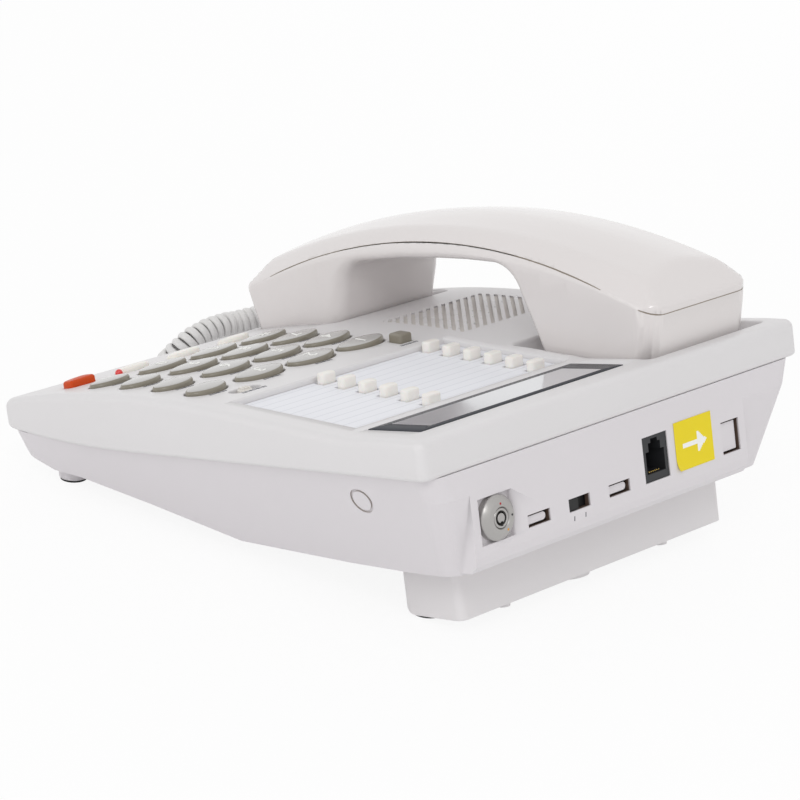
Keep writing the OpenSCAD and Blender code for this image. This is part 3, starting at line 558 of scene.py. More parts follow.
def spin_solid(bm: bmesh.types.BMesh, profile: Sequence[Point], segments: int = 48,
               matrix: Matrix | None = None) -> None:
    """Spins a profile of (radius, height) points about z into a closed solid.

    Args:
        bm: The mesh that the new solid joins.
        profile: The points, starting and ending on the axis.
        segments: Faces round the axis.
        matrix: Place of the solid.
    """
    chain = [bm.verts.new((r, 0, z)) for r, z in profile]
    edges = [bm.edges.new(pair) for pair in zip(chain, chain[1:])]
    bmesh.ops.spin(bm, geom=chain + edges, axis=(0, 0, 1), cent=(0, 0, 0), angle=math.tau,
                   steps=segments, use_merge=True)
    found = dict.fromkeys(chain)
    front = list(chain)
    while front:
        vert = front.pop()
        others = [edge.other_vert(vert) for edge in vert.link_edges]
        new = [other for other in others if other not in found]
        found.update(dict.fromkeys(new))
        front += new
    bmesh.ops.remove_doubles(bm, verts=list(found), dist=SPUN_MERGE)
    verts = [v for v in found if v.is_valid]
    around = list(dict.fromkeys(f for v in verts for f in v.link_faces))
    bmesh.ops.recalc_face_normals(bm, faces=around)
    if matrix is not None:
        bmesh.ops.transform(bm, matrix=matrix, verts=verts)


def joined(rings: Sequence[Ring]) -> bmesh.types.BMesh:
    """A closed solid through some rings, with its faces turned outwards.

    Args:
        rings: The rings, from one end to the other.

    Returns:
        The mesh.
    """
    bm = bmesh.new()
    loft(bm, rings)
    bmesh.ops.recalc_face_normals(bm, faces=bm.faces[:])
    return bm


def copy_of(node: str) -> bmesh.types.BMesh:
    """A merged copy of a construction node, in the base's frame and millimetres.

    Args:
        node: The node's name.

    Returns:
        The mesh.
    """
    bm = bmesh.new()
    bm.from_mesh(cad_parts[node].data)
    bmesh.ops.transform(bm, matrix=BASE.matrix().inverted(), verts=bm.verts[:])
    bmesh.ops.remove_doubles(bm, verts=bm.verts[:], dist=COPY_MERGE)
    return bm


def round_edges(bm: bmesh.types.BMesh, radius: float, wanted: Callable[[bmesh.types.BMEdge], bool],
                segments: int = 3, sharp: float = 30.0) -> None:
    """Rounds the outward edges that a test picks.

    Args:
        bm: The mesh.
        radius: Width of the rounding.
        wanted: Whether to round an edge.
        segments: Faces across the rounding.
        sharp: The least angle between an edge's faces, in degrees.
    """
    bmesh.ops.dissolve_limit(bm, angle_limit=FLAT_ANGLE, verts=bm.verts[:], edges=bm.edges[:],
                             delimit={"MATERIAL"})
    picked = [e for e in bm.edges if e.is_manifold and e.is_convex
              and e.calc_face_angle(0.0) > math.radians(sharp) and wanted(e)]
    bmesh.ops.bevel(bm, geom=picked, offset=radius, offset_type="OFFSET", segments=segments,
                    profile=0.5, affect="EDGES", clamp_overlap=True, material=-1)


def put_in_order(bm: bmesh.types.BMesh) -> None:
    """Sorts a mesh's vertices, edges and faces by place, so that every run gives the same mesh.

    Args:
        bm: The mesh.
    """
    for items, key in ((bm.verts, lambda v: tuple(v.co)),
                       (bm.edges, lambda e: sorted(v.index for v in e.verts)),
                       (bm.faces, lambda f: sorted(v.index for v in f.verts))):
        ranks = {item: rank for rank, item in enumerate(sorted(items, key=key))}
        items.sort(key=lambda item: ranks[item])
        items.index_update()


def mesh_object(name: str, bm: bmesh.types.BMesh, place: Matrix | None = None) -> bpy.types.Object:
    """Turns a mesh in the base's frame into an object at the origin.

    Args:
        name: The object's name.
        bm: Its mesh, in millimetres, which is freed.
        place: The change to the upright frame, or none for the base's own.

    Returns:
        The linked object.
    """
    bmesh.ops.transform(bm, matrix=place or BASE.matrix(), verts=bm.verts[:])
    put_in_order(bm)
    mesh = bpy.data.meshes.new(name)
    bm.to_mesh(mesh)
    bm.free()
    made = bpy.data.objects.new(name, mesh)
    bpy.context.scene.collection.objects.link(made)
    return made


def solid_of(name: str, data: bpy.types.Curve) -> bpy.types.Mesh:
    """The mesh of a curve or a text, which is taken out of the scene.

    Args:
        name: A name for it.
        data: The curve or text.

    Returns:
        The mesh.
    """
    holder = bpy.data.objects.new(name, data)
    bpy.context.scene.collection.objects.link(holder)
    depsgraph = bpy.context.evaluated_depsgraph_get()
    mesh = bpy.data.meshes.new_from_object(holder.evaluated_get(depsgraph))
    bpy.data.objects.remove(holder)
    return mesh


def smooth(piece: bpy.types.Object, angle: float = 30.0, flat_over: float | None = None) -> None:
    """Shades a piece smooth, with edges past the angle left sharp.

    Args:
        piece: The object, already in metres.
        angle: The angle, in degrees.
        flat_over: Area in square millimetres past which a face is shaded flat.
    """
    piece.data.shade_smooth()
    piece.data.set_sharp_from_angle(angle=math.radians(angle))
    if flat_over is not None:
        for polygon in piece.data.polygons:
            polygon.use_smooth = polygon.area < flat_over * MM * MM


def settle(piece: bpy.types.Object) -> None:
    """Applies a piece's modifiers to its mesh.

    Args:
        piece: The object.
    """
    evaluated = piece.evaluated_get(bpy.context.evaluated_depsgraph_get())
    result = bpy.data.meshes.new_from_object(evaluated)
    piece.modifiers.clear()
    old = piece.data
    piece.data = result
    result.name = old.name
    bpy.data.meshes.remove(old)


def cut(piece: bpy.types.Object, tool: bpy.types.Object, how: str = "DIFFERENCE",
        crowded: bool = False) -> None:
    """Applies an exact boolean and deletes the tool.

    Args:
        piece: The object that is changed.
        tool: The object that cuts it.
        how: DIFFERENCE or INTERSECT.
        crowded: Whether the tool is many parts that may touch each other.
    """
    modifier = piece.modifiers.new("cut", "BOOLEAN")
    modifier.operation = how
    modifier.solver = "EXACT"
    modifier.use_self = crowded
    modifier.object = tool
    settle(piece)
    bpy.data.objects.remove(tool)


def finish_piece(piece: bpy.types.Object, body: str | None, slot: str, finishes: Sequence[Finishes],
                 nodes: Sequence[str] = ()) -> bpy.types.Object:
    """Dresses a piece, lets it ride on its body and hides the nodes that it stands for.

    Args:
        piece: The object.
        body: The body that carries it, or None for a piece that rides on no body.
        slot: The record's material slot; not used.
        finishes: The finish of each material index.
        nodes: The construction nodes that it replaces.

    Returns:
        The same object.
    """
    slots = piece.data.materials
    for index, finish in enumerate(finishes):
        if index < len(slots):
            slots[index] = finish.material()
        else:
            slots.append(finish.material())
    if body:
        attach(piece, body)
    if nodes:
        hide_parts(*nodes)
    LOG.info("%s: %d faces on %s", piece.name, len(getattr(piece.data, "polygons", ())), body)
    return piece


def dress(node: str, finish: Finishes) -> None:
    """Gives a construction node its finish.

    Args:
        node: The node's name.
        finish: Its finish.
    """
    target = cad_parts[node]
    target.data.materials.clear()
    target.data.materials.append(finish.material())
    LOG.info("%s dressed in %s", node, finish.value.name)


# ------------------------------------------------------------------ camera, stage and light


@dataclass
class Studio:
    """Camera, floor and lamps, with the lamps' places in metres."""

    position: tuple[float, float, float] = (0.775975, 0.730518, 0.446688)
    back: tuple[float, float, float] = (0.6807262, 0.6390352, 0.3581142)
    up: tuple[float, float, float] = (-0.2220172, -0.2858943, 0.9321871)
    lens: float = 138.506
    sensor: float = 36.0
    clip: Point = (0.05, 60.0)
    floor_size: float = 30.0
    floor_paint: float = 0.92
    floor_glow: float = 0.9
    sky: float = 0.74
    unseen: tuple[str, ...] = ("front_lamp", "low_lamp")
    lamps: tuple = field(default_factory=lambda: (
        ("key_lamp", (1.05, 0.85, 1.4), 0.55, 5.4),
        ("side_lamp", (1.6, -0.6, 0.7), 0.9, 3.0),
        ("front_lamp", (-1.45, -0.6, 0.8), 0.8, 4.0),
        ("low_lamp", (0.5, 1.6, 0.3), 0.8, 1.6)))

    def camera(self) -> bpy.types.Object:
        """Makes the camera and returns it.

        Returns:
            The camera.
        """
        data = bpy.data.cameras.new("camera")
        data.lens = self.lens
        data.sensor_width = self.sensor
        data.clip_start, data.clip_end = self.clip
        made = bpy.data.objects.new("camera", data)
        back = Vector(self.back).normalized()
        right = Vector(self.up).cross(back).normalized()
        up = back.cross(right)
        turn = Matrix((right, up, back)).transposed().to_4x4()
        made.matrix_world = Matrix.Translation(self.position) @ turn
        bpy.context.scene.collection.objects.link(made)
        bpy.context.scene.camera = made
        return made

    def floor(self) -> None:
        """Lays a white floor that keeps the object's shadow."""
        bm = bmesh.new()
        bmesh.ops.create_grid(bm, x_segments=1, y_segments=1, size=self.floor_size / 2)
        made = mesh_object("floor", bm, AS_DRAWN)
        material = bpy.data.materials.new("floor_white")
        material.use_nodes = True
        material.node_tree.nodes.clear()
        n = Nodes(material.node_tree)
        paint = n.add("ShaderNodeBsdfDiffuse", {"Color": (*[self.floor_paint] * 3, 1.0)})
        glow = n.add("ShaderNodeEmission", {"Color": WHITE, "Strength": 1.0})
        share = n.math("MULTIPLY", self.seen(n), self.floor_glow)
        mixed = n.add("ShaderNodeMixShader", {0: share, 1: paint.outputs[0], 2: glow.outputs[0]})
        n.add("ShaderNodeOutputMaterial", {"Surface": mixed.outputs[0]})
        made.data.materials.append(material)

    def seen(self, n: Nodes) -> bpy.types.NodeSocket:
        """Whether a ray comes from the camera, or is one that metal or glass shows.

        Args:
            n: The nodes to build in.

        Returns:
            A socket that is 1 for such a ray.
        """
        path = n.add("ShaderNodeLightPath").outputs
        direct = n.math("MAXIMUM", path["Is Camera Ray"], path["Is Glossy Ray"])
        return n.math("MAXIMUM", direct, path["Is Transmission Ray"])

    def sky_light(self) -> None:
        """Lights the scene from all sides, with a white sky behind it."""
        world = bpy.data.worlds.new("studio")
        bpy.context.scene.world = world
        world.use_nodes = True
        world.node_tree.nodes.clear()
        n = Nodes(world.node_tree)
        strength = n.math("MULTIPLY_ADD", self.seen(n), 1.0 - self.sky, self.sky)
        sky = n.add("ShaderNodeBackground", {"Color": WHITE, "Strength": strength})
        n.add("ShaderNodeOutputWorld", {"Surface": sky.outputs[0]})

    def lamp(self, name: str, place: tuple[float, float, float], size: float, power: float) -> None:
        """Hangs a soft square lamp that points at the object.

        Args:
            name: The lamp's name.
            place: Its place.
            size: Its side in metres.
            power: Its power in watts.
        """
        data = bpy.data.lights.new(name, "AREA")
        data.shape = "SQUARE"
        data.size = size
        data.energy = power
        made = bpy.data.objects.new(name, data)
        made.location = place
        made.rotation_mode = "QUATERNION"
        made.rotation_quaternion = (-Vector(place)).to_track_quat("-Z", "Y")
        made.visible_glossy = name not in self.unseen
        bpy.context.scene.collection.objects.link(made)

    def build(self) -> None:
        """Builds everything but the camera."""
        bpy.context.scene.view_settings.view_transform = "Standard"
        self.floor()
        self.sky_light()
        for lamp in self.lamps:
            self.lamp(*lamp)


# ------------------------------------------------------------------ cord


@dataclass
class CoiledCord:
    """The curly cord from the handset to the base, in millimetres.
    """

    stops: tuple = (
        (-56, -120.5, 26.3), (-50, -126, 23.8), (-41, -130, 22.2), (-33, -131.5, 22),
        (-26, -133, 20.6), (-20, -134.5, 18), (-15.5, -136.5, 14), (-14, -140, 9.3),
        (-18, -145, 6.2), (-28, -148, 5.5), (-42, -149, 5.5), (-62, -148, 5.5),
        (-88, -143, 5.5), (-108, -133, 5.5), (-120, -116, 5.5), (-126, -93, 5.5),
        (-128, -68, 5.5), (-128, -43, 5.5), (-128, -20, 6), (-128, 0, 9.5),
        (-127, 18, 16.5), (-123, 32, 25.5), (-114, 41, 33))
    handset_x: float = -57.25
    collar_end: float = -226.0
    plug_z: float = 17.0
    base_exit: tuple = (-100.5, -70.0, -13.5)
    thick: float = 2.4
    wide: float = 3.15
    sides: int = 10
    uneven: float = 0.02
    coil_d: float = 10.2
    pitch: float = 3.2
    loose_pitch: float = 3.7
    loose_length: float = 16.0
    tail: float = 6.0
    step: float = 0.5
    waver: float = 0.37
    per_turn: int = 18
    lift_start: tuple = (-0.128, 0.0, 0.0)
    lift_end: tuple = (-0.057, -0.112, 0.0)

    def upright(self, point: Sequence[float]) -> Vector:
        """A point of the base's frame in the upright frame, in millimetres."""
        return (BASE.matrix() @ Vector(point)) / MM

    def middle_line(self) -> list[Vector]:
        """Close points along the middle of the coil.

        Returns:
            The points, in millimetres.
        """
        start = self.upright((self.handset_x, self.collar_end, self.plug_z))
        end = self.upright(self.base_exit)
        stops = [start, *map(Vector, self.stops), end]
        line = []
        for i in range(len(stops) - 1):
            a, b = stops[max(i - 1, 0)], stops[i]
            c, d = stops[i + 1], stops[min(i + 2, len(stops) - 1)]
            steps = max(4, round((c - b).length / self.step))
            for k in range(steps):
                t = k / steps
                line.append(0.5 * (2 * b + (c - a) * t + (2 * a - 5 * b + 4 * c - d) * t**2
                                   + (3 * b - a - 3 * c + d) * t**3))
        return [*line, end]

    def helix(self) -> list[tuple[Vector, Vector, float]]:
        """The wire's own line: turns round the middle line, with a straight tail at both ends.

        Returns:
            For each point, its place in metres, the way out of the coil and how full the coil is.
        """
        line = self.middle_line()
        reach = [0.0]
        for a, b in zip(line, line[1:]):
            reach.append(reach[-1] + (b - a).length)
        total = reach[-1]
        side = (line[1] - line[0]).cross(Vector((0, 0, 1))).normalized()
        points, turn, place, i = [], 0.0, 0.0, 0
        while place < total:
            while i < len(line) - 2 and reach[i + 1] < place:
                i += 1
            ahead = (line[i + 1] - line[i]).normalized()
            side = (side - ahead * side.dot(ahead)).normalized()
            up = ahead.cross(side)
            share = (place - reach[i]) / max(reach[i + 1] - reach[i], 1e-6)
            middle = line[i].lerp(line[i + 1], share)
            ease = min(1.0, place / self.tail, (total - place) / self.tail)
            ease = ease * ease * (3 - 2 * ease)
            out = math.cos(turn) * side + math.sin(turn) * up
            wave = 1 + self.uneven * math.sin(turn * self.waver)
            r = (self.coil_d / 2 - self.thick / 2) * ease * wave
            points.append(((middle + r * out) * MM, out, ease))
            loose = max(0.0, 1 - place / self.loose_length)
            pitch = self.pitch + (self.loose_pitch - self.pitch) * loose
            turn += math.tau / self.per_turn
            place += pitch / self.per_turn
        points.append((line[-1] * MM, points[-1][1], 0.0))
        return points

    def build(self) -> bpy.types.Object:
        """Returns:
            The cord.
        """
        helix = self.helix()
        points = [point for point, _, _ in helix]
        angles = [math.tau * k / self.sides for k in range(self.sides)]
        rings = []
        for index, (point, out, ease) in enumerate(helix):
            before, after = points[max(index - 1, 0)], points[min(index + 1, len(points) - 1)]
            along = (after - before).normalized()
            away = (out - along * out.dot(along)).normalized()
            across = along.cross(away)
            half_wide = (self.thick + (self.wide - self.thick) * ease) / 2 * MM
            half_thick = self.thick / 2 * MM
            rings.append([point + across * (half_wide * math.cos(a))
                          + away * (half_thick * math.sin(a)) for a in angles])
        made = mesh_object("coiled_cord", joined(rings), AS_DRAWN)
        smooth(made, 60)
        finish_piece(made, None, "cord_white", [Finishes.CORD], ["handset_cord"])
        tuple(self.lift_start)
        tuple(self.lift_end)
        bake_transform(made)
        length = sum((b - a).length for a, b in zip(points, points[1:]))
        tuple(points[0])
        LOG.info("coiled_cord: %d points, %.3f m of wire", len(points), length)
        return made


@dataclass
class CordEnds:
    """The sleeves and plugs at the two ends of the cord, in millimetres."""

    handset_place: tuple = (-57.25, -218.2, 17.0)
    base_place: tuple = (-88.5, -70.0, -13.5)
    sleeve_d: float = 9.2
    handset_l: float = 7.5
    base_l: float = 12.0
    handset_depth: float = 10.0
    base_depth: float = 12.0
    plug: tuple = (7.6, 6.5)
    rib_pitch: float = 2.5
    rib_depth: float = 0.45
    plain: float = 1.2

    def sleeve(self, name: str, place: Matrix, length: float, depth: float, body: str,
               node: str) -> None:
        """Makes one ribbed sleeve with its plug.

        Args:
            name: The piece's name.
            place: Its place, with z out of the jack.
            length: The sleeve's length.
            depth: How deep the plug sits in its jack.
            body: The body that carries it.
            node: The construction node that it replaces.
        """
        bm = bmesh.new()
        r = self.sleeve_d / 2
        profile = [(0, 0), (r - 0.5, 0), (r, 0.5)]
        ribs = max(2, round(length / self.rib_pitch))
        for i in range(ribs):
            low = self.plain + (length - 2 * self.plain) * i / ribs
            neck = r - self.rib_depth
            profile += [(r, low), (neck, low + 0.35), (neck, low + 0.8), (r, low + 1.15)]
        profile += [(r, length - 0.6), (r - 0.6, length), (0, length)]
        spin_solid(bm, profile, 40, place)
        width, height = self.plug
        loft(bm, [ring_at(box_outline(width - 0.8, height - 0.8, 0.4), -depth),
                  ring_at(box_outline(width, height, 0.5), -depth + 0.5),
                  ring_at(box_outline(width, height, 0.5), 0.3)], matrix=place)
        made = mesh_object(name, bm)
        smooth(made)
        finish_piece(made, body, "cord_white", [Finishes.CORD], [node])

    def build(self) -> None:
        """Makes both sleeves."""
        out_front = Matrix.Translation(self.handset_place) @ Matrix.Rotation(math.pi / 2, 4, "X")
        self.sleeve("handset_plug_sleeve", out_front, self.handset_l, self.handset_depth, "handset",
                    "handset_plug")
        out_left = Matrix.Translation(self.base_place) @ Matrix.Rotation(-math.pi / 2, 4, "Y")
        self.sleeve("base_plug_sleeve", out_left, self.base_l, self.base_depth, "base", "base_plug")


# ------------------------------------------------------------------ casings


@dataclass
class Skin:
    """A solid with a shaped top over a rounded rectangle, whose upper edge is rounded.

    While it is built, origin keeps the outline's own point of each rim vertex.
    """

    hw: float
    front: float
    back: float
    r_front: float
    r_back: float
    edge_r: float
    top: Callable[[float, float], float]
    breaks: tuple = ()
    step: float = 4.0
    x_step: float = 8.0
    origin: dict = field(default_factory=dict)

    def edge_distance(self, x: float, y: float) -> float:
        """How far a point lies inside the outline.

        Args:
            x: Place across.
            y: Place along.

        Returns:
            The distance to the nearest edge.
        """
        r = self.r_front if y < (self.front + self.back) / 2 else self.r_back
        across = self.hw - abs(x)
        along = min(y - self.front, self.back - y)
        if across < r and along < r:
            return r - math.hypot(r - across, r - along)
        return min(across, along)

    def offsets(self) -> list[float]:
        """Distances from an edge at which the grid has lines, close together over the rounding.

        Returns:
            The distances, from 0 up.
        """
        r = self.edge_r
        near = [r * (1 - math.cos(math.radians(a))) for a in (0, 18, 36, 54, 72, 90)]
        corner = max(self.r_front, self.r_back)
        return near + [d for d in (r + (corner - r) * k / 4 for k in range(1, 5)) if d > r + 0.2]

    def lines(self, low: float, high: float, step: float,
              breaks: Sequence[float] = ()) -> list[float]:
        """Places of the grid's lines between two edges.

        Args:
            low: The lower edge.
            high: The upper edge.
            step: Distance between inner lines.
            breaks: Places that must have a line.

        Returns:
            The places in order.
        """
        near = self.offsets()
        inner_low, inner_high = low + near[-1], high - near[-1]
        count = max(1, round((inner_high - inner_low) / step))
        inner = [inner_low + (inner_high - inner_low) * i / count for i in range(1, count)]
        for b in breaks:
            closest = min(range(len(inner)), key=lambda i: abs(inner[i] - b))
            inner[closest] = b
        return [*(low + d for d in near), *inner, *(high - d for d in reversed(near))]

    def reach(self, y: float) -> float:
        """Half of the outline's width at a place along it.

        Args:
            y: The place.

        Returns:
            The half width.
        """
        for r, d in ((self.r_front, y - self.front), (self.r_back, self.back - y)):
            if d < r:
                return self.hw - r + math.sqrt(max(r * r - (r - d) ** 2, 0))
        return self.hw

    def height(self, x: float, y: float) -> float:
        """Height of the top with its rounded edge.

        Args:
            x: Place across.
            y: Place along.

        Returns:
            The height.
        """
        short = max(self.edge_r - max(self.edge_distance(x, y), 0), 0)
        return self.top(x, y) - self.edge_r + math.sqrt(max(self.edge_r**2 - short**2, 0))

    def inward(self, x: float, y: float) -> tuple[float, float]:
        """Direction from the outline straight into the piece.

        Args:
            x: Place across.
            y: Place along.

        Returns:
            The direction, one long.
        """
        low_end = y < (self.front + self.back) / 2
        r = self.r_front if low_end else self.r_back
        cx = math.copysign(self.hw - r, x)
        cy = self.front + r if low_end else self.back - r
        dx = cx - x if abs(x) > abs(cx) else 0.0
        dy = cy - y if (y < cy if low_end else y > cy) else 0.0
        size = math.hypot(dx, dy) or 1.0
        return dx / size, dy / size

    def build(self, rings: Sequence[tuple[float, Callable[[float], float]]]) -> bmesh.types.BMesh:
        """Makes the solid.

        Args:
            rings: How far each lower ring is drawn in, and its height at each place along.

        Returns:
            The closed mesh, centred on x = 0.
        """
        ys = self.lines(self.front, self.back, self.step, self.breaks)
        near = self.offsets()
        half = max(1, round((self.hw - near[-1]) / self.x_step))
        bm = bmesh.new()
        columns = 2 * (len(near) - 1 + half)
        bmesh.ops.create_grid(bm, x_segments=columns, y_segments=len(ys) - 1, size=1.0)
        for vert in bm.verts:
            row = round((vert.co.y + 1) / 2 * (len(ys) - 1))
            column = round((vert.co.x + 1) / 2 * columns)
            y = ys[row]
            from_edge = min(column, columns - column)
            wide = self.reach(y)
            if from_edge < len(near):
                x = wide - near[from_edge]
            else:
                x = (wide - near[-1]) * (columns / 2 - from_edge) / half
            x = math.copysign(x, column - columns / 2) if from_edge != columns / 2 else 0.0
            vert.co = (x, y, self.height(x, y))
        for inset, level in rings:
            rim = [e for e in bm.edges if e.is_boundary]
            grown = bmesh.ops.extrude_edge_only(bm, edges=rim)["geom"]
            for vert in (g for g in grown if isinstance(g, bmesh.types.BMVert)):
                parent = next(e.other_vert(vert) for e in vert.link_edges
                              if not e.is_boundary and e.other_vert(vert) not in grown)
                edge_x, edge_y = self.outline_point(parent)
                dx, dy = self.inward(edge_x, edge_y)
                vert.co = (edge_x + dx * inset, edge_y + dy * inset, level(edge_y))
                self.origin[vert] = (edge_x, edge_y)
        rim = [e for e in bm.edges if e.is_boundary]
        bottom = bmesh.ops.holes_fill(bm, edges=rim, sides=0)["faces"]
        bmesh.ops.triangulate(bm, faces=bottom)
        bmesh.ops.recalc_face_normals(bm, faces=bm.faces[:])
        self.origin.clear()
        return bm

    def outline_point(self, vert: bmesh.types.BMVert) -> tuple[float, float]:
        """The outline's own point that a rim vertex was extruded from."""
        return self.origin.get(vert, (vert.co.x, vert.co.y))


@dataclass(frozen=True)
class Hole:
    """The outline of a hole in the top casing, in millimetres; an oval if it has no corner."""

    length: float
    width: float
    corner: float | None = 0.02
    steps: int = 5
    centre: Point = (0.0, 0.0)

    def outline(self, grow: float) -> list[Point]:
        """The outline, let out by a distance.

        Args:
            grow: The distance.

        Returns:
            Its points.
        """
        size = (self.length + 2 * grow, self.width + 2 * grow)
        if self.corner is None:
            points = oval_outline(*size, self.steps, 0.0)
        else:
            points = box_outline(*size, self.corner + grow, self.steps)
        return [(x + self.centre[0], y + self.centre[1]) for x, y in points]


@dataclass
class UpperCasing:
    """The top casing: cradle wells, grille, key holes, card tray and display frame."""

    edge_r: float = 3.0
    foot_r: float = 1.6
    foot_deep: float = 8.0
    drop: float = 0.15
    rim_r: float = 0.45
    well_rim_r: float = 1.1
    tray_rim_r: float = 0.7
    r_front: float = 8.0
    r_back: float = 3.5
    key_steps: int = 28
    wells: tuple[Hole, ...] = (Hole(65.5, 66.6, 3.0, 6, (-58.75, -41.7)),
                               Hole(65.5, 48.2, 3.0, 6, (-58.75, -192.1)))
    tray: Hole = Hole(106.0, 60.4, centre=(33.5, -32.4))
    display: Hole = Hole(103.0, 25.5, centre=(35.0, -12.75))
    controls: tuple = ((Hole(7.2, 7.2), 0.35, (-7.9, -113.7)),
                       (Hole(14.0, 5.0, 2.5, 8), 0.5, (72.3, -112.5)),
                       (Hole(3.3, 3.3, None, 24), 0.3, (64.5, -191.0)))

    def skin(self) -> bmesh.types.BMesh:
        """The rounded outer form.

        Returns:
            A closed mesh.
        """
        form = Skin(hw=BASE.half_width - self.drop, front=-BASE.length + self.drop, back=-self.drop,
                    r_front=self.r_front, r_back=self.r_back, edge_r=self.edge_r,
                    top=lambda x, y: BASE.surface(y) - self.drop,
                    breaks=(BASE.display_back, BASE.display_front, BASE.memory_front,
                            BASE.parting_bend))
        rings = []
        for angle in (0, 22, 45, 68, 90):
            a = math.radians(angle)
            inset, up = self.foot_r * (1 - math.cos(a)), self.foot_r * (1 - math.sin(a))
            rings.append((inset, lambda y, up=up: BASE.parting(y) + up))
        rings.append((self.foot_r, lambda y: BASE.parting(y) - self.foot_deep))
        return form.build(rings)

    def flare(self, bm: bmesh.types.BMesh, hole: Hole, r: float, place: Matrix | None = None,
              level: Callable[[float], float] = lambda y: 0.0) -> None:
        """Adds a tool that rounds the rim of a hole.

        Args:
            bm: The mesh of all such tools.
            hole: The hole.
            r: Radius of the rim.
            place: Place of the hole, with z square to the surface.
            level: Height of the surface at each y of the outline.
        """
        rings = [[(x, y, level(y) - r - 0.5) for x, y in hole.outline(-0.12)]]
        for angle in (0, 22.5, 45, 67.5, 90):
            a = math.radians(angle)
            out, deep = r * (1 - math.cos(a)), r * (1 - math.sin(a))
            rings.append([(x, y, level(y) - deep - self.drop)
                          for x, y in hole.outline(out + 0.002)])
        rings.append([(x, y, level(y) + 3.0) for x, y in hole.outline(r + 0.01)])
        loft(bm, rings, matrix=place)

    def key_hole(self, key: "Key") -> Hole:
        """The hole of a key.

        Args:
            key: The key.

        Returns:
            The hole.
        """
        size = (key.length + 2 * key.gap, key.width + 2 * key.gap)
        if key.square:
            return Hole(*size, key.corner + key.gap)
        return Hole(*size, None, self.key_steps)

    def rims(self) -> bmesh.types.BMesh:
        """Tools that round the rim of every hole in the top.

        Returns:
            A mesh of closed solids.
        """
        bm = bmesh.new()
        for key in Keypad().keys():
            self.flare(bm, self.key_hole(key), self.rim_r, BASE.at_surface(key.x, key.y))
        for well in self.wells:
            self.flare(bm, well, self.well_rim_r, level=BASE.surface)
        self.flare(bm, self.tray, self.tray_rim_r, BASE.at_tray())
        self.flare(bm, self.display, self.rim_r, BASE.at_display(0))
        for hole, r, place in self.controls:
            self.flare(bm, hole, r, BASE.at_surface(*place))
        return bm

    def build(self) -> None:
        """Makes the casing from its construction, with every outer edge and rim rounded."""
        piece = mesh_object("upper_casing", copy_of("upper_shell"), AS_DRAWN)
        cut(piece, mesh_object("skin", self.skin(), AS_DRAWN), "INTERSECT")
        cut(piece, mesh_object("rims", self.rims(), AS_DRAWN), crowded=True)
        piece.data.transform(BASE.matrix())
        smooth(piece)
        finish_piece(piece, "base", "shell_white", [Finishes.SHELL], ["upper_shell"])


@dataclass
class LowerCasing:
    """The bottom casing with its back panel and front feet, and the stand under it."""

    edge_r: float = 1.2
    edge_x: float = 84.0
    edge_low: float = -4.0
    stand_r: float = 2.0
    stand_low: float = -36.0
    end_r: float = 4.0
    longest_short: float = 2.5
    ring: tuple[float, float, float] = (-37.4, -10.2, 6.2)
    ring_x: float = 90.0
    ring_lean: float = 0.6
    gap_from: float = -6.0
    gap_to: float = -0.65
    gap_reach: float = 0.2
    gaps: tuple = ((47.1, -24.7, 11.2, 4.4), (5.5, -24.7, 11.2, 4.4), (-56.5, -20.9, 10.0, 11.9),
                   (26.5, -24.6, 10.9, 4.6))

    def in_gap(self, one: bmesh.types.BMFace) -> bool:
        """Whether a face is a wall of one of the narrow gaps in the back panel.

        Args:
            one: The face.

        Returns:
            True for such a wall.
        """
        middle = one.calc_center_median()
        if abs(one.normal.y) > 0.7 or not self.gap_from < middle.y < self.gap_to:
            return False
        return any(abs(middle.x - x) < length / 2 + self.gap_reach
                   and abs(middle.z - z) < width / 2 + self.gap_reach
                   for x, z, length, width in self.gaps)

    def in_ring(self, one: bmesh.types.BMFace) -> bool:
        """Whether a face is a wall of the round mark in the side.

        Args:
            one: The face.

        Returns:
            True for such a wall.
        """
        y, z, r = self.ring
        middle = one.calc_center_median()
        near = middle.x > self.ring_x and math.hypot(middle.y - y, middle.z - z) < r
        return near and abs(one.normal.x) < self.ring_lean

    def outer(self, edge: bmesh.types.BMEdge) -> bool:
        """Whether an edge is a long outer edge of the casing."""
        low = max(v.co.z for v in edge.verts) < self.edge_low
        far = abs(edge.verts[0].co.x) > self.edge_x
        return edge.calc_length() > self.longest_short and low and far

    def foot(self, edge: bmesh.types.BMEdge) -> bool:
        """Whether an edge is a long one at the stand's foot."""
        return edge.calc_length() > 4 and max(v.co.z for v in edge.verts) < self.stand_low

    def far_end(self, edge: bmesh.types.BMEdge) -> bool:
        """Whether an edge of the stand's foot runs across its far end."""
        first, second = (v.co.x for v in edge.verts)
        return self.foot(edge) and abs(first - second) < 1 and first < -20

    def casing(self) -> None:
        """Makes the bottom casing."""
        bm = copy_of("lower_shell")
        round_edges(bm, self.edge_r, self.outer, 4)
        # Gap walls get painted shade, darker with depth; the round mark's walls get the ring's
        # painted shade.
        for one in bm.faces:
            if self.in_gap(one):
                one.material_index = 1
            else:
                one.material_index = 2 if self.in_ring(one) else 0
        piece = mesh_object("lower_casing", bm)
        smooth(piece, flat_over=300)
        finish_piece(piece, "base", "shell_grey", [Finishes.UNDER, Finishes.GAP_SHADE, Finishes.RING],
                     ["lower_shell"])

    def stand(self) -> None:
        """Makes the stand."""
        bm = copy_of("stand")
        round_edges(bm, self.end_r, self.far_end, 4)
        round_edges(bm, self.stand_r, self.foot)
        piece = mesh_object("rear_stand", bm)
        smooth(piece)
        finish_piece(piece, "base", "shell_grey", [Finishes.STAND], ["stand"])

    def build(self) -> None:
        """Makes both pieces."""
        self.casing()
        self.stand()


# ------------------------------------------------------------------ handset


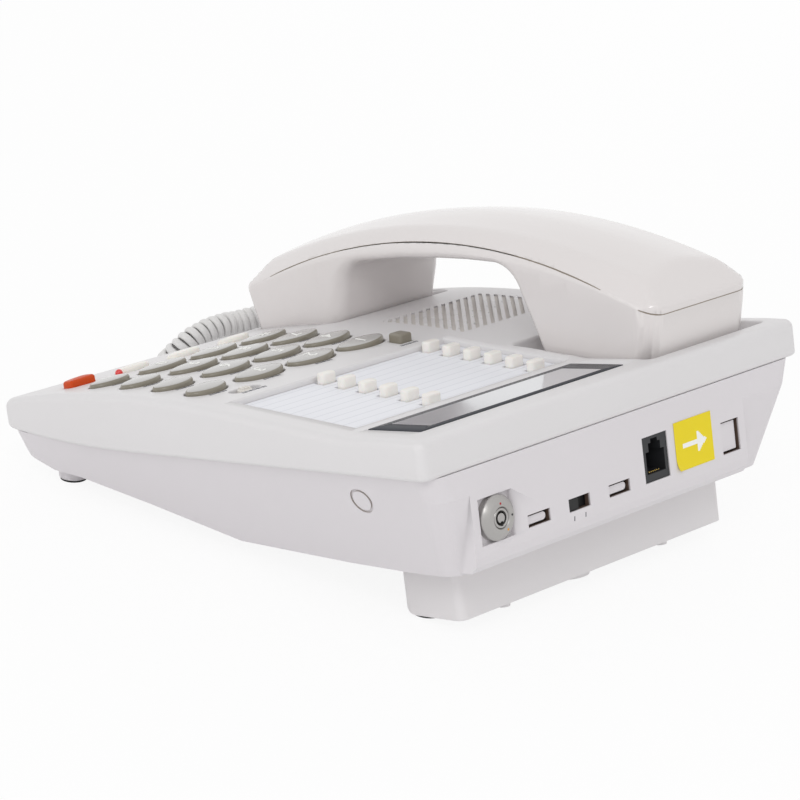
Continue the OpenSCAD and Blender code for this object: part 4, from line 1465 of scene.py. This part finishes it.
def soft_min(a: float, b: float, blend: float) -> float:
    """The smaller of two heights, with the corner between them rounded.

    Args:
        a: One height.
        b: The other height.
        blend: Width of the rounding.

    Returns:
        The height.
    """
    share = max(blend - abs(a - b), 0) / blend
    return min(a, b) - share * share * blend / 4


@dataclass
class Handset:
    """The two shells of the handset, in millimetres."""

    x: float = -57.25
    hw: float = 28.75
    front: float = -221.0
    back: float = -7.0
    r_front: float = 4.0
    r_back: float = 8.0
    middle: float = -118.0
    crown_z: float = 60.5
    crown_r: float = 300.0
    crown_edge: float = 1.3
    seam_z: float = 52.5
    seam_r: float = 257.0
    bottom: float = 5.8
    end_z: float = 31.0
    inset: float = 0.3
    blend: float = 1.5
    soft_r: float = 6.0
    arch_r: float = 2.4
    groove_r: float = 0.3
    groove_step: float = 3.0
    least_reach: float = 15.0
    reach_step: float = 0.05
    level_x: float = 5.0
    fall: float = 0.165
    shoulder: Point = (20.75, 2.6)
    shoulder_fall: float = 0.925
    ear: Point = (30.5, 1.125)
    mouth: Point = (33.5, 1.67)
    mouth_bend: float = 8.0
    ear_lean: float = 0.24
    mouth_lean: float = 0.32
    ear_foot: float = -59.5
    ear_inner: Point = (-66.5, 24.0)
    mouth_foot: float = -173.0
    mouth_inner: Point = (-169.0, 19.0)
    over: float = 75.0
    arcs: tuple = ((-151.0, 31.0, 13.5, 176, 92), (-84.5, 31.5, 14.0, 84, 12))
    arc_steps: int = 8
    arch: tuple = ((-131.0, 46.0), (-111.0, 46.4), (-97.0, 46.2))

    def section_drop(self, x: float) -> float:
        """How far the crown falls towards its sides.

        Args:
            x: Place across, from the middle.

        Returns:
            The fall.
        """
        x = abs(x)
        gentle = -soft_min(0.0, -(x - self.level_x) * self.fall, 1.2)
        steep = self.shoulder[1] + (x - self.shoulder[0]) * self.shoulder_fall
        return -soft_min(-gentle, -steep, self.blend)

    def crown(self, x: float, y: float) -> float:
        """Height of the crown over the whole handset.

        Args:
            x: Place across, from the middle.
            y: Place along.

        Returns:
            The height.
        """
        r = self.crown_r - self.section_drop(x)
        top = self.crown_z - self.crown_r + math.sqrt(r * r - (y - self.middle) ** 2)
        ear = self.ear[0] + (self.back - y) * self.ear[1]
        t = y - self.front
        beyond = max(t - self.mouth_bend, 0.0)
        mouth = self.mouth[0] + min(t, self.mouth_bend) + beyond * self.mouth[1]
        return soft_min(soft_min(top, ear, self.blend), mouth, self.blend) - self.inset

    def seam(self, y: float) -> float:
        """Height of the seam."""
        return self.seam_z - self.seam_r + math.sqrt(self.seam_r**2 - (y - self.middle) ** 2)

    def crown_form(self, low: float) -> bpy.types.Object:
        """The crown's form as a solid that reaches down to a height.

        Args:
            low: The height of its underside.

        Returns:
            The solid.
        """
        skin = Skin(hw=self.hw - self.inset, front=self.front + self.inset,
                    back=self.back - self.inset, r_front=self.r_front, r_back=self.r_back,
                    edge_r=self.crown_edge, top=self.crown, step=1.6, x_step=1.3)
        bm = skin.build([(0.0, lambda y: low)])
        bmesh.ops.translate(bm, vec=(self.x, 0, 0), verts=bm.verts[:])
        return mesh_object("crown_form", bm, AS_DRAWN)

    def side_outline(self) -> list[Ring]:
        """Side view of the lower shell, drawn in a little, as (y, z, edge radius) points.

        Returns:
            The points in order.
        """
        t = self.inset
        low = self.bottom + t
        ear, mouth = self.back - t, self.front + t
        lean_ear = self.ear_lean * (self.end_z - low)
        lean_mouth = self.mouth_lean * (self.end_z - low)
        points = [(self.ear_foot + t, low, 2.0), (ear - lean_ear, low, 4.0),
                  (ear, self.end_z, self.r_back), (ear, self.over, self.r_back),
                  (mouth, self.over, self.r_front), (mouth, self.end_z, self.r_front),
                  (mouth + lean_mouth, low, 3.0), (self.mouth_foot - t, low, 4.0),
                  (self.mouth_inner[0] - t, self.mouth_inner[1], self.soft_r)]
        for index, (cy, cz, r, start, stop) in enumerate(self.arcs):
            r += t
            for i in range(self.arc_steps + 1):
                a = math.radians(start + (stop - start) * i / self.arc_steps)
                soft = (1 + math.cos(math.pi * i / self.arc_steps)) / 2 if index == 0 else 0.0
                points.append((cy + r * math.cos(a), cz + r * math.sin(a),
                               self.arch_r + (self.soft_r - self.arch_r) * soft))
            if index == 0:
                points += [(y, z + t, self.arch_r) for y, z in self.arch]
        return [*points, (self.ear_inner[0] + t, self.ear_inner[1], self.arch_r)]

    def grip_form(self) -> bpy.types.Object:
        """The form of the ear block, grip and mouth block, with round edges.

        Returns:
            The solid.
        """
        outline = [(Vector((y, z)), r) for y, z, r in self.side_outline()]
        drawn = []
        for index, (point, r) in enumerate(outline):
            before = point - outline[index - 1][0]
            after = outline[(index + 1) % len(outline)][0] - point
            first = Vector((before.y, -before.x)).normalized()
            second = Vector((after.y, -after.x)).normalized()
            drawn.append((point, (first + second) / (1 + first.dot(second)), r))
        turns = [math.radians(90 * i / 6) for i in range(7)]
        hw = self.hw - self.inset
        rings = []
        for side, order in ((-1, reversed(turns)), (1, turns)):
            for a in order:
                ring = []
                for point, out, r in drawn:
                    moved = point - out * (r * (1 - math.cos(a)))
                    ring.append((side * (hw - r * (1 - math.sin(a))), moved.x, moved.y))
                rings.append(ring)
        bm = joined(rings)
        bmesh.ops.translate(bm, vec=(self.x, 0, 0), verts=bm.verts[:])
        return mesh_object("grip_form", bm, AS_DRAWN)

    def groove(self) -> bpy.types.Object:
        """A thin tube along the seam, which cuts its groove; its faces become the groove's walls
        and carry the seam's painted shade.

        Returns:
            The tube.
        """
        lean = self.ear_lean * (self.end_z - self.seam(self.back))
        outline = rounded_outline(self.hw, self.front, self.back - lean,
                                  self.r_front, self.r_back, 8)
        dense = []
        for (x0, y0), (x1, y1) in zip(outline, outline[1:] + outline[:1]):
            count = max(1, round(math.hypot(x1 - x0, y1 - y0) / self.groove_step))
            dense += [(x0 + (x1 - x0) * k / count, y0 + (y1 - y0) * k / count)
                      for k in range(count)]
        curve = bpy.data.curves.new("groove", "CURVE")
        curve.dimensions = "3D"
        curve.bevel_depth = self.groove_r
        curve.bevel_resolution = 1
        spline = curve.splines.new("POLY")
        spline.points.add(len(dense) - 1)
        spline.use_cyclic_u = True
        for stop, (x, y) in zip(spline.points, dense):
            z = self.seam(y)
            wide = abs(x)
            while self.crown(wide, y) < z and wide > self.least_reach:
                wide -= self.reach_step
            stop.co = (self.x + math.copysign(wide, x), y, z, 1.0)
        mesh = solid_of("groove", curve)
        # The tube's faces become the groove's walls, which are painted with the seam's shade.
        for polygon in mesh.polygons:
            polygon.material_index = 1
        made = bpy.data.objects.new("groove", mesh)
        bpy.context.scene.collection.objects.link(made)
        return made

    def shell(self, name: str, node: str, slot: str, low: float) -> None:
        """Makes one shell from its construction and the forms.

        Args:
            name: The piece's name.
            node: The construction node that it replaces.
            slot: The record's material slot.
            low: How far down the crown's form reaches.
        """
        piece = mesh_object(name, copy_of(node), AS_DRAWN)
        cut(piece, self.crown_form(low), "INTERSECT")
        cut(piece, self.grip_form(), "INTERSECT")
        cut(piece, self.groove())
        piece.data.transform(BASE.matrix())
        smooth(piece)
        finish_piece(piece, "handset", slot, [Finishes.HANDSET, Finishes.SEAM], [node])

    def build(self) -> None:
        """Makes both shells."""
        self.shell("handset_cover", "handset_upper", "shell_white", 5.0)
        self.shell("handset_grip", "handset_lower", "shell_grey", -5.0)


# ------------------------------------------------------------------ keys and controls


@dataclass(frozen=True)
class Key:
    """One key of the keypad, in millimetres."""

    node: str
    x: float
    y: float
    length: float
    width: float
    rise: float = 1.9
    gap: float = 0.4
    corner: float = 1.2
    square: bool = False
    legend: str = ""

    def outline(self, grow: float) -> list[Point]:
        """The key's outline, let out by a distance.

        Args:
            grow: The distance.

        Returns:
            Its points.
        """
        if self.square:
            return box_outline(self.length + 2 * grow, self.width + 2 * grow, self.corner + grow)
        return oval_outline(self.length + 2 * grow, self.width + 2 * grow)


@dataclass
class Keypad:
    """Twenty keys in five rows."""

    first_x: float = 3.6
    first_y: float = -123.3
    pitch_x: float = 25.8
    pitch_y: float = 17.75
    rows: tuple = (("key_1", "key_2", "key_3", "key_fn1"), ("key_4", "key_5", "key_6", "key_fn2"),
                   ("key_7", "key_8", "key_9", "key_fn3"),
                   ("key_star", "key_0", "key_hash", "key_fn4"),
                   ("key_cream1", "key_cream2", "key_cream3", "key_orange"))
    board_top: float = 9.2
    stem_gap: float = 3.4
    lean: float = -0.04
    crown: float = 0.42
    number_size: Point = (22.5, 11.6)
    extra_size: Point = (18.0, 10.6)
    cream_size: Point = (16.0, 7.6)
    orange_size: Point = (12.0, 5.6)
    orange_rise: float = 3.0
    figure_size: float = 7.4
    star_size: float = 11.0
    star_drop: float = 1.4
    figure_bold: float = 0.08
    figure_top: float = 0.11
    figure_foot: float = -0.1
    wall: float = 2.8
    flange: float = 1.2
    flange_out: float = 0.9
    edge: tuple = ((0.0, 0.95), (-0.12, 0.62), (-0.34, 0.32), (-0.66, 0.1), (-1.0, 0.0))
    top_from: float = -0.5
    stem: Point = (6.0, 4.0)

    def keys(self) -> list[Key]:
        """All keys, with their places and sizes.

        Returns:
            The keys, row by row.
        """
        made = []
        for r, names in enumerate(self.rows):
            for c, node in enumerate(names):
                x, y = self.first_x + c * self.pitch_x, self.first_y - r * self.pitch_y
                if node == "key_orange":
                    made.append(Key(node, x, y, *self.orange_size, rise=self.orange_rise,
                                    square=True))
                elif "cream" in node:
                    made.append(Key(node, x, y, *self.cream_size))
                elif "fn" in node:
                    made.append(Key(node, x, y, *self.extra_size))
                else:
                    word = node.removeprefix("key_")
                    figure = {"star": "*", "hash": "#"}.get(word, word)
                    made.append(Key(node, x, y, *self.number_size, legend=figure))
        return made

    def dome(self, key: Key, x: float, y: float) -> float:
        """Height of a key's top at a point of it."""
        reach = min(1.0, math.hypot(x / (key.length / 2), y / (key.width / 2)))
        return key.rise + self.lean * x - self.crown * reach**2

    def legend(self, bm: bmesh.types.BMesh, key: Key) -> None:
        """Prints a plain figure on a key, as a thin plate that follows its dome.

        Args:
            bm: The key's mesh, in the key's own frame.
            key: The key.
        """
        star = key.legend == "*"
        text = bpy.data.curves.new("legend", "FONT")
        text.body = key.legend
        text.size = self.star_size if star else self.figure_size
        text.offset = self.figure_bold
        text.align_x = text.align_y = "CENTER"
        text.extrude = 0.05
        text.resolution_u = 3
        mesh = solid_of("legend", text)
        old_verts, old_faces = len(bm.verts), len(bm.faces)
        bm.from_mesh(mesh)
        bm.verts.ensure_lookup_table()
        bm.faces.ensure_lookup_table()
        for vert in bm.verts[old_verts:]:
            raised = self.figure_top if vert.co.z > 0 else self.figure_foot
            y = vert.co.y - (self.star_drop if star else 0.0)
            vert.co = (vert.co.x, y, self.dome(key, vert.co.x, y) + raised)
        for face in bm.faces[old_faces:]:
            face.material_index = 2
        bpy.data.meshes.remove(mesh)

    def cap(self, key: Key) -> bmesh.types.BMesh:
        """The mesh of one key in its own frame: flange, sides and a domed top.

        Args:
            key: The key.

        Returns:
            The mesh.
        """
        foot = -self.wall - self.flange
        stops = ((self.flange_out, foot), (self.flange_out, -self.wall), (0.0, -self.wall))
        rings = [ring_at(key.outline(grow), z) for grow, z in stops]
        marks = [1] * len(rings)
        # Rings drawn in past top_from belong to the top, which takes the lighter finish holding
        # painted reflection; the outer rings take the side finish.
        for grow, low in self.edge:
            rings.append([(x, y, self.dome(key, x, y) - low) for x, y in key.outline(grow)])
            marks.append(1 if grow > self.top_from else 0)
        inner = key.outline(self.edge[-1][0])
        for share in (0.8, 0.6, 0.4, 0.2):
            rings.append([(x * share, y * share, self.dome(key, x * share, y * share))
                          for x, y in inner])
            marks.append(0)
        bm = bmesh.new()
        loft(bm, rings, marks=[*marks, 0])
        stem = box_outline(*self.stem, 0.3)
        deep = BASE.surface(key.y) - self.board_top - self.stem_gap
        loft(bm, [ring_at(stem, -deep), ring_at(stem, foot + 0.1)])
        if key.legend:
            self.legend(bm, key)
        return bm

    def build(self) -> None:
        """Makes every key."""
        for key in self.keys():
            bm = self.cap(key)
            bmesh.ops.transform(bm, matrix=BASE.at_surface(key.x, key.y), verts=bm.verts[:])
            piece = mesh_object(key.node + "_cap", bm)
            smooth(piece, 35)
            top, side, slot = Finishes.KEY_TOP_WITH_PAINTED_REFLECTION, Finishes.KEY_SIDE, "key_grey"
            if key.node == "key_orange":
                top, side, slot = Finishes.ORANGE, Finishes.ORANGE, "key_orange"
            elif key.node.startswith("key_cream"):
                top, side, slot = Finishes.CREAM, Finishes.CREAM, "key_cream"
            finish_piece(piece, key.node, slot, [top, side, Finishes.LEGEND], [key.node])


@dataclass
class Controls:
    """Memory buttons, message lamp, push button and function switch."""

    memory_x: float = -9.4
    memory_y: float = -99.6
    memory_rise: float = 1.6
    pitch_x: float = 53.9
    pitch_y: float = 10.35
    push_place: Point = (-7.9, -113.7)
    switch_place: Point = (72.3, -112.5)
    lamp_place: Point = (64.5, -191.0)
    lamp_r: float = 1.5

    def rounded_block(self, bm: bmesh.types.BMesh, size: Point, low: float, high: float,
                      corner: float, edge: float, crown: float = 0.0,
                      matrix: Matrix | None = None) -> None:
        """Adds a block with round corners and a soft upper edge.

        Args:
            bm: The mesh.
            size: Length and width.
            low: Height of its underside.
            high: Height of its top.
            corner: Radius of its corners seen from above.
            edge: Radius of its upper edge.
            crown: How much its top rises to the middle.
            matrix: Place of the block.
        """
        rings = [ring_at(box_outline(*size, corner), low)]
        for angle in (0, 30, 60, 90):
            a = math.radians(angle)
            inset = edge * (1 - math.cos(a))
            outline = box_outline(size[0] - 2 * inset, size[1] - 2 * inset, corner - inset * 0.7)
            rings.append(ring_at(outline, high - edge + edge * math.sin(a)))
        inner = box_outline(size[0] - 2 * edge, size[1] - 2 * edge, corner - edge * 0.7)
        for share in (0.66, 0.33):
            rings.append([(x * share, y * share, high + crown * (1 - share**2)) for x, y in inner])
        loft(bm, rings, matrix=matrix)

    def piece(self, name: str, bm: bmesh.types.BMesh, place: Point, body: str, slot: str,
              finishes: Sequence[Finishes]) -> None:
        """Places a control on the top surface and finishes it.

        Args:
            name: The piece's name.
            bm: Its mesh, in its own frame.
            place: Its place on the surface.
            body: The body that carries it.
            slot: The record's material slot.
            finishes: The finish of each material index.
        """
        bmesh.ops.transform(bm, matrix=BASE.at_surface(*place), verts=bm.verts[:])
        made = mesh_object(name, bm)
        smooth(made, 35)
        node = {"message_lamp": "led"}.get(name, body)
        finish_piece(made, body, slot, finishes, [node])

    def memory_buttons(self) -> None:
        """Makes the two columns of memory buttons."""
        for c in range(2):
            for r in range(6):
                number = c * 6 + r + 1
                bm = bmesh.new()
                self.rounded_block(bm, (9.4, 6.4), -6.3, -5.3, 0.6, 0.1)
                self.rounded_block(bm, (7.0, 4.0), -5.35, self.memory_rise, 1.5, 0.7, 0.15)
                place = (self.memory_x + c * self.pitch_x, self.memory_y + r * self.pitch_y)
                self.piece(f"memory_button_{number}", bm, place, f"memory_{number}", "key_cream",
                           [Finishes.TAB])

    def push_button(self) -> None:
        """Makes the small square button beside the keypad."""
        bm = bmesh.new()
        self.rounded_block(bm, (8.4, 8.4), -3.8, -2.8, 0.5, 0.1)
        self.rounded_block(bm, (6.6, 6.6), -2.9, 3.0, 1.2, 0.7, 0.15)
        self.piece("push_button_cap", bm, self.push_place, "push_button", "key_grey",
                   [Finishes.KEY_SIDE])

    def function_switch(self) -> None:
        """Makes the slide switch with its ribbed knob."""
        bm = bmesh.new()
        self.rounded_block(bm, (20, 7), -3.8, -2.8, 0.5, 0.1)
        for one in bm.faces:
            one.material_index = 1
        self.rounded_block(bm, (6.0, 3.8), -2.9, -0.2, 1.88, 0.4)
        for shift in (-1.5, 0, 1.5):
            rib = Matrix.Translation((shift, 0, 0))
            self.rounded_block(bm, (0.7, 2.8), -0.4, 0.6, 0.3, 0.25, matrix=rib)
        self.piece("function_switch_knob", bm, self.switch_place, "function_switch", "key_cream",
                   [Finishes.KNOB, Finishes.PRINT])

    def message_lamp(self) -> None:
        """Makes the round lamp."""
        bm = bmesh.new()
        r = self.lamp_r
        arc = [math.radians(angle) for angle in range(0, 90, 15)]
        dome = [(r * math.cos(a), 0.5 + r * math.sin(a)) for a in arc]
        spin_solid(bm, [(0, -3.5), (r - 0.1, -3.5), (r, -3.4), *dome, (0, 0.5 + r)], 32)
        self.piece("message_lamp", bm, self.lamp_place, "base", "led_red", [Finishes.LED])

    def build(self) -> None:
        """Makes every control."""
        self.memory_buttons()
        self.push_button()
        self.function_switch()
        self.message_lamp()


# ------------------------------------------------------------------ back panel and display


@dataclass
class BackPanel:
    """Lock, label and jack contacts, in millimetres."""

    face: float = -0.6
    lock: Point = (67.4, -19.4)
    lock_head: float = 2.4
    label: Point = (-35.9, -18.0)
    label_size: Point = (20.6, 17.8)
    curl_from: float = 1.45
    curl_over: float = 0.55
    ripple: float = 0.015
    dot_r: float = 0.42
    dots: tuple = (90, 0, -62)
    dots_at: float = 5.0
    keyway: tuple[Point, ...] = ((-0.6, -2.7), (0.6, -2.7), (0.6, -1.1), (-0.6, -1.1))
    jack: Point = (-15.1, -18.7)
    wires: int = 6
    wire_pitch: float = 1.02
    wire_lean: float = 24.0

    def outwards(self, x: float, z: float) -> Matrix:
        """A place on the panel, with z out of it and y upwards.

        Args:
            x: Place across.
            z: Place up.

        Returns:
            The place.
        """
        turn = Matrix(((-1, 0, 0), (0, 0, 1), (0, 1, 0))).to_4x4()
        return Matrix.Translation((x, self.face, z)) @ turn

    def bezel(self, place: Matrix) -> None:
        """Makes the lock's bezel with its three dots.

        Args:
            place: The lock's place, with z out of the panel.
        """
        bm = bmesh.new()
        head = self.lock_head
        profile = [(0, -12), (3.65, -12), (3.65, head - 0.5), (3.9, head - 0.12), (4.2, head),
                   (5.7, head), (5.95, head - 0.1), (7.3, head - 1.35), (7.7, head - 1.75),
                   (7.88, head - 2.1), (7.88, -1.75), (6.3, -1.8), (6.3, -16), (0, -16)]
        spin_solid(bm, profile, 64, place)
        r = self.dot_r
        for index, angle in enumerate(self.dots):
            a = math.radians(angle)
            middle = (self.dots_at * math.cos(a), self.dots_at * math.sin(a), head - 0.02)
            before = set(bm.faces)
            spin_solid(bm, [(0, 0), (r, 0), (r, 0.05), (r - 0.07, 0.09), (0, 0.1)], 20,
                       place @ Matrix.Translation(middle))
            for one in set(bm.faces) - before:
                one.material_index = index + 1
        made = mesh_object("lock_bezel", bm)
        smooth(made)
        dots = [Finishes.DOT_RED, Finishes.DOT_BLACK, Finishes.DOT_AMBER]
        finish_piece(made, "base", "lock_metal", [Finishes.NICKEL, *dots], ["lock_body"])

    def barrel(self, place: Matrix) -> None:
        """Makes the lock's turning plug with its round keyway.

        Args:
            place: The lock's place, with z out of the panel.
        """
        bm = bmesh.new()
        top = self.lock_head - 0.3
        profile = [(0, -11.7), (3.58, -11.7), (3.58, top - 0.35), (3.3, top), (2.7, top),
                   (2.55, top - 0.12), (2.5, -3.3), (1.7, -3.3), (1.7, top - 0.1), (1.6, top),
                   (0, top)]
        spin_solid(bm, profile, 48, place)
        plug = mesh_object("lock_barrel_plug", bm, AS_DRAWN)
        bm = bmesh.new()
        loft(bm, [ring_at(self.keyway, z) for z in (-4, 4)], matrix=place)
        bmesh.ops.recalc_face_normals(bm, faces=bm.faces[:])
        cut(plug, mesh_object("keyway", bm, AS_DRAWN))
        plug.data.transform(BASE.matrix())
        smooth(plug)
        finish_piece(plug, "lock_plug", "lock_metal", [Finishes.NICKEL], ["lock_plug"])

    def on_arrow(self, x: float, y: float) -> bool:
        """Whether a point of the label lies on its arrow.

        Args:
            x: Place across the label.
            y: Place up the label.

        Returns:
            True on the arrow.
        """
        shaft = abs(y) < 1.0 and -6.5 < x < 2.5
        head = 2.0 < x < 6.8 and abs(y) < (6.8 - x) * 0.8
        return shaft or head

    def paper_label(self) -> None:
        """Makes the paper label, with one corner coming away and a plain arrow."""
        half_w, half_h = (side / 2 for side in self.label_size)
        bm = bmesh.new()
        bmesh.ops.create_grid(bm, x_segments=36, y_segments=32, size=1.0)
        for vert in bm.verts:
            x, y = vert.co.x * half_w, vert.co.y * half_h
            curl = (max(0.0, -x / half_w - y / half_h - self.curl_from) / self.curl_over) ** 2
            wave = self.ripple * math.sin(x * 0.9) * math.sin(y * 0.7)
            vert.co = (x + curl * 0.5, y + curl * 0.4, 0.12 + wave + curl)
        for one in bm.faces:
            middle = one.calc_center_median()
            one.material_index = 1 if self.on_arrow(middle.x, middle.y + 0.3) else 0
        bmesh.ops.solidify(bm, geom=bm.faces[:], thickness=-0.11)
        bmesh.ops.recalc_face_normals(bm, faces=bm.faces[:])
        bmesh.ops.transform(bm, matrix=self.outwards(*self.label), verts=bm.verts[:])
        made = mesh_object("paper_label", bm)
        smooth(made, 40)
        finish_piece(made, "base", "label_yellow", [Finishes.YELLOW, Finishes.LEGEND], ["sticker"])

    def contacts(self) -> None:
        """Makes the sprung wires inside the line jack."""
        bm = bmesh.new()
        turn = Matrix.Rotation(math.pi - math.radians(self.wire_lean), 4, "X")
        for i in range(self.wires):
            x = (i - (self.wires - 1) / 2) * self.wire_pitch
            wire = self.outwards(*self.jack) @ Matrix.Translation((x, -4.9, -1.6)) @ turn
            spin_solid(bm, [(0, 0), (0.2, 0.05), (0.22, 0.2), (0.22, 8.6), (0, 8.7)], 10, wire)
        made = mesh_object("jack_contacts", bm)
        smooth(made)
        finish_piece(made, "base", "jack_black", [Finishes.BRASS])

    def build(self) -> None:
        """Makes every piece of the panel."""
        place = self.outwards(*self.lock)
        self.bezel(place)
        self.barrel(place)
        self.paper_label()
        self.contacts()


@dataclass
class Printing:
    """Plain printed dashes by the keys and switches, ticks on the panel, and the grille's cloth."""

    cloth: tuple = (-88.0, -28.0, -148.0, -101.0)
    cloth_drop: float = 0.8
    dashes: tuple = ((71.5, -108.6, 12.0), (-6.5, -108.0, 9.0))
    key_dash: Point = (7.5, 1.3)
    bars: tuple = (0.6, 1.0, 0.4, 1.3, 0.7)
    bar_gap: float = 0.4
    bar_height: float = 1.3
    ticks: tuple = ((24.2, -29.4), (30.0, -29.4))
    tick: tuple[Point, ...] = ((-0.2, -0.8), (0.25, -0.8), (0.5, 0.8), (0.05, 0.8))
    levels: Point = (-0.1, 0.03)

    def dash(self, bm: bmesh.types.BMesh, length: float, place: Matrix) -> None:
        """Adds one row of small bars of unequal lengths.

        Args:
            bm: The mesh that they join.
            length: Length of the row.
            place: Place of its middle.
        """
        start, turn = -length / 2, 0
        while start < length / 2:
            bar = self.bars[turn % len(self.bars)]
            outline = box_outline(bar, self.bar_height, 0.1, 2)
            loft(bm, [ring_at(outline, z) for z in self.levels],
                 matrix=place @ Matrix.Translation((start + bar / 2, 0, 0)))
            start += bar + self.bar_gap
            turn += 1

    def marks(self) -> None:
        """Makes the printed marks."""
        bm = bmesh.new()
        length, gap = self.key_dash
        keys = [key for key in Keypad().keys()
                if key.legend in tuple("23456789") or "fn" in key.node]
        rows = (*self.dashes, *((key.x, key.y + key.width / 2 + gap, length) for key in keys))
        for x, y, long in rows:
            self.dash(bm, long,
                      BASE.at_surface(x, y) @ Matrix.Translation((0, 0, -UpperCasing.drop)))
        for x, z in self.ticks:
            loft(bm, [ring_at(self.tick, h) for h in self.levels],
                 matrix=BackPanel().outwards(x, z))
        made = mesh_object("printed_marks", bm)
        finish_piece(made, "base", "switch_black", [Finishes.PRINT])

    def grille_cloth(self) -> None:
        """Makes the cloth behind the grille."""
        left, right, front, back = self.cloth
        bm = bmesh.new()
        bmesh.ops.create_grid(bm, x_segments=12, y_segments=16, size=1.0)
        for vert in bm.verts:
            x = (left + right) / 2 + vert.co.x * (right - left) / 2
            y = (front + back) / 2 + vert.co.y * (back - front) / 2
            vert.co = (x, y, BASE.surface(y) - self.cloth_drop)
        bmesh.ops.solidify(bm, geom=bm.faces[:], thickness=0.3)
        bmesh.ops.recalc_face_normals(bm, faces=bm.faces[:])
        made = mesh_object("grille_cloth", bm)
        smooth(made)
        finish_piece(made, "base", "mat_grey", [Finishes.CLOTH])

    def build(self) -> None:
        """Makes the printed marks and the cloth."""
        self.marks()
        self.grille_cloth()


@dataclass
class Display:
    """The display's window over its dark printed frame."""

    left: float = -16.35
    right: float = 86.35
    depth: float = 25.2
    thick: float = 1.5
    corner: float = 0.4
    middle: float = -12.75
    end_margin: float = 8.0
    side_margin: float = 3.2

    def build(self) -> None:
        """Makes the window, with the lit area set in its frame."""
        frame_middle = BASE.at_display((self.left + self.right) / 2)
        place = frame_middle @ Matrix.Translation((0, self.middle, 0))
        length = self.right - self.left
        inner = (length - 2 * self.end_margin, self.depth - 2 * self.side_margin)
        stops = ((length, self.depth, -self.thick), (length, self.depth, -0.3),
                 (length - 0.16, self.depth - 0.16, -0.1), (length - 0.5, self.depth - 0.5, -0.02),
                 (*inner, 0.0), (inner[0] - 0.1, inner[1] - 0.1, -0.03))
        rings = [ring_at(box_outline(long, wide, self.corner, 3), z) for long, wide, z in stops]
        bm = bmesh.new()
        loft(bm, rings, matrix=place, marks=[0, 0, 0, 0, 0, 1])
        made = mesh_object("display_window", bm)
        smooth(made, 25)
        finish_piece(made, "base", "lens_smoke", [Finishes.LENS, Finishes.LCD], ["display_lens"])


DRESSED: dict[str, Finishes] = {
    "rubber_pads": Finishes.RUBBER, "screws": Finishes.STEEL, "modular_jacks": Finishes.BLACK,
    "tone_switch": Finishes.DEEP, "lcd_module": Finishes.MODULE, "index_card": Finishes.CARD,
    "main_board": Finishes.BOARD, "key_mat": Finishes.MAT, "speaker": Finishes.DEEP,
    "hook_switch": Finishes.SHELL, "receiver": Finishes.DEEP, "microphone": Finishes.DEEP,
}


def main() -> None:
    """Builds the studio and every piece of the telephone, in order."""
    logging.basicConfig(level=logging.INFO, format="%(name)s: %(message)s")
    studio = Studio()
    studio.camera()
    CordEnds().build()
    CoiledCord().build()
    studio.build()
    UpperCasing().build()
    LowerCasing().build()
    Handset().build()
    Keypad().build()
    Controls().build()
    BackPanel().build()
    Printing().build()
    Display().build()
    for node, finish in DRESSED.items():
        dress(node, finish)


if __name__ == "__main__":
    main()
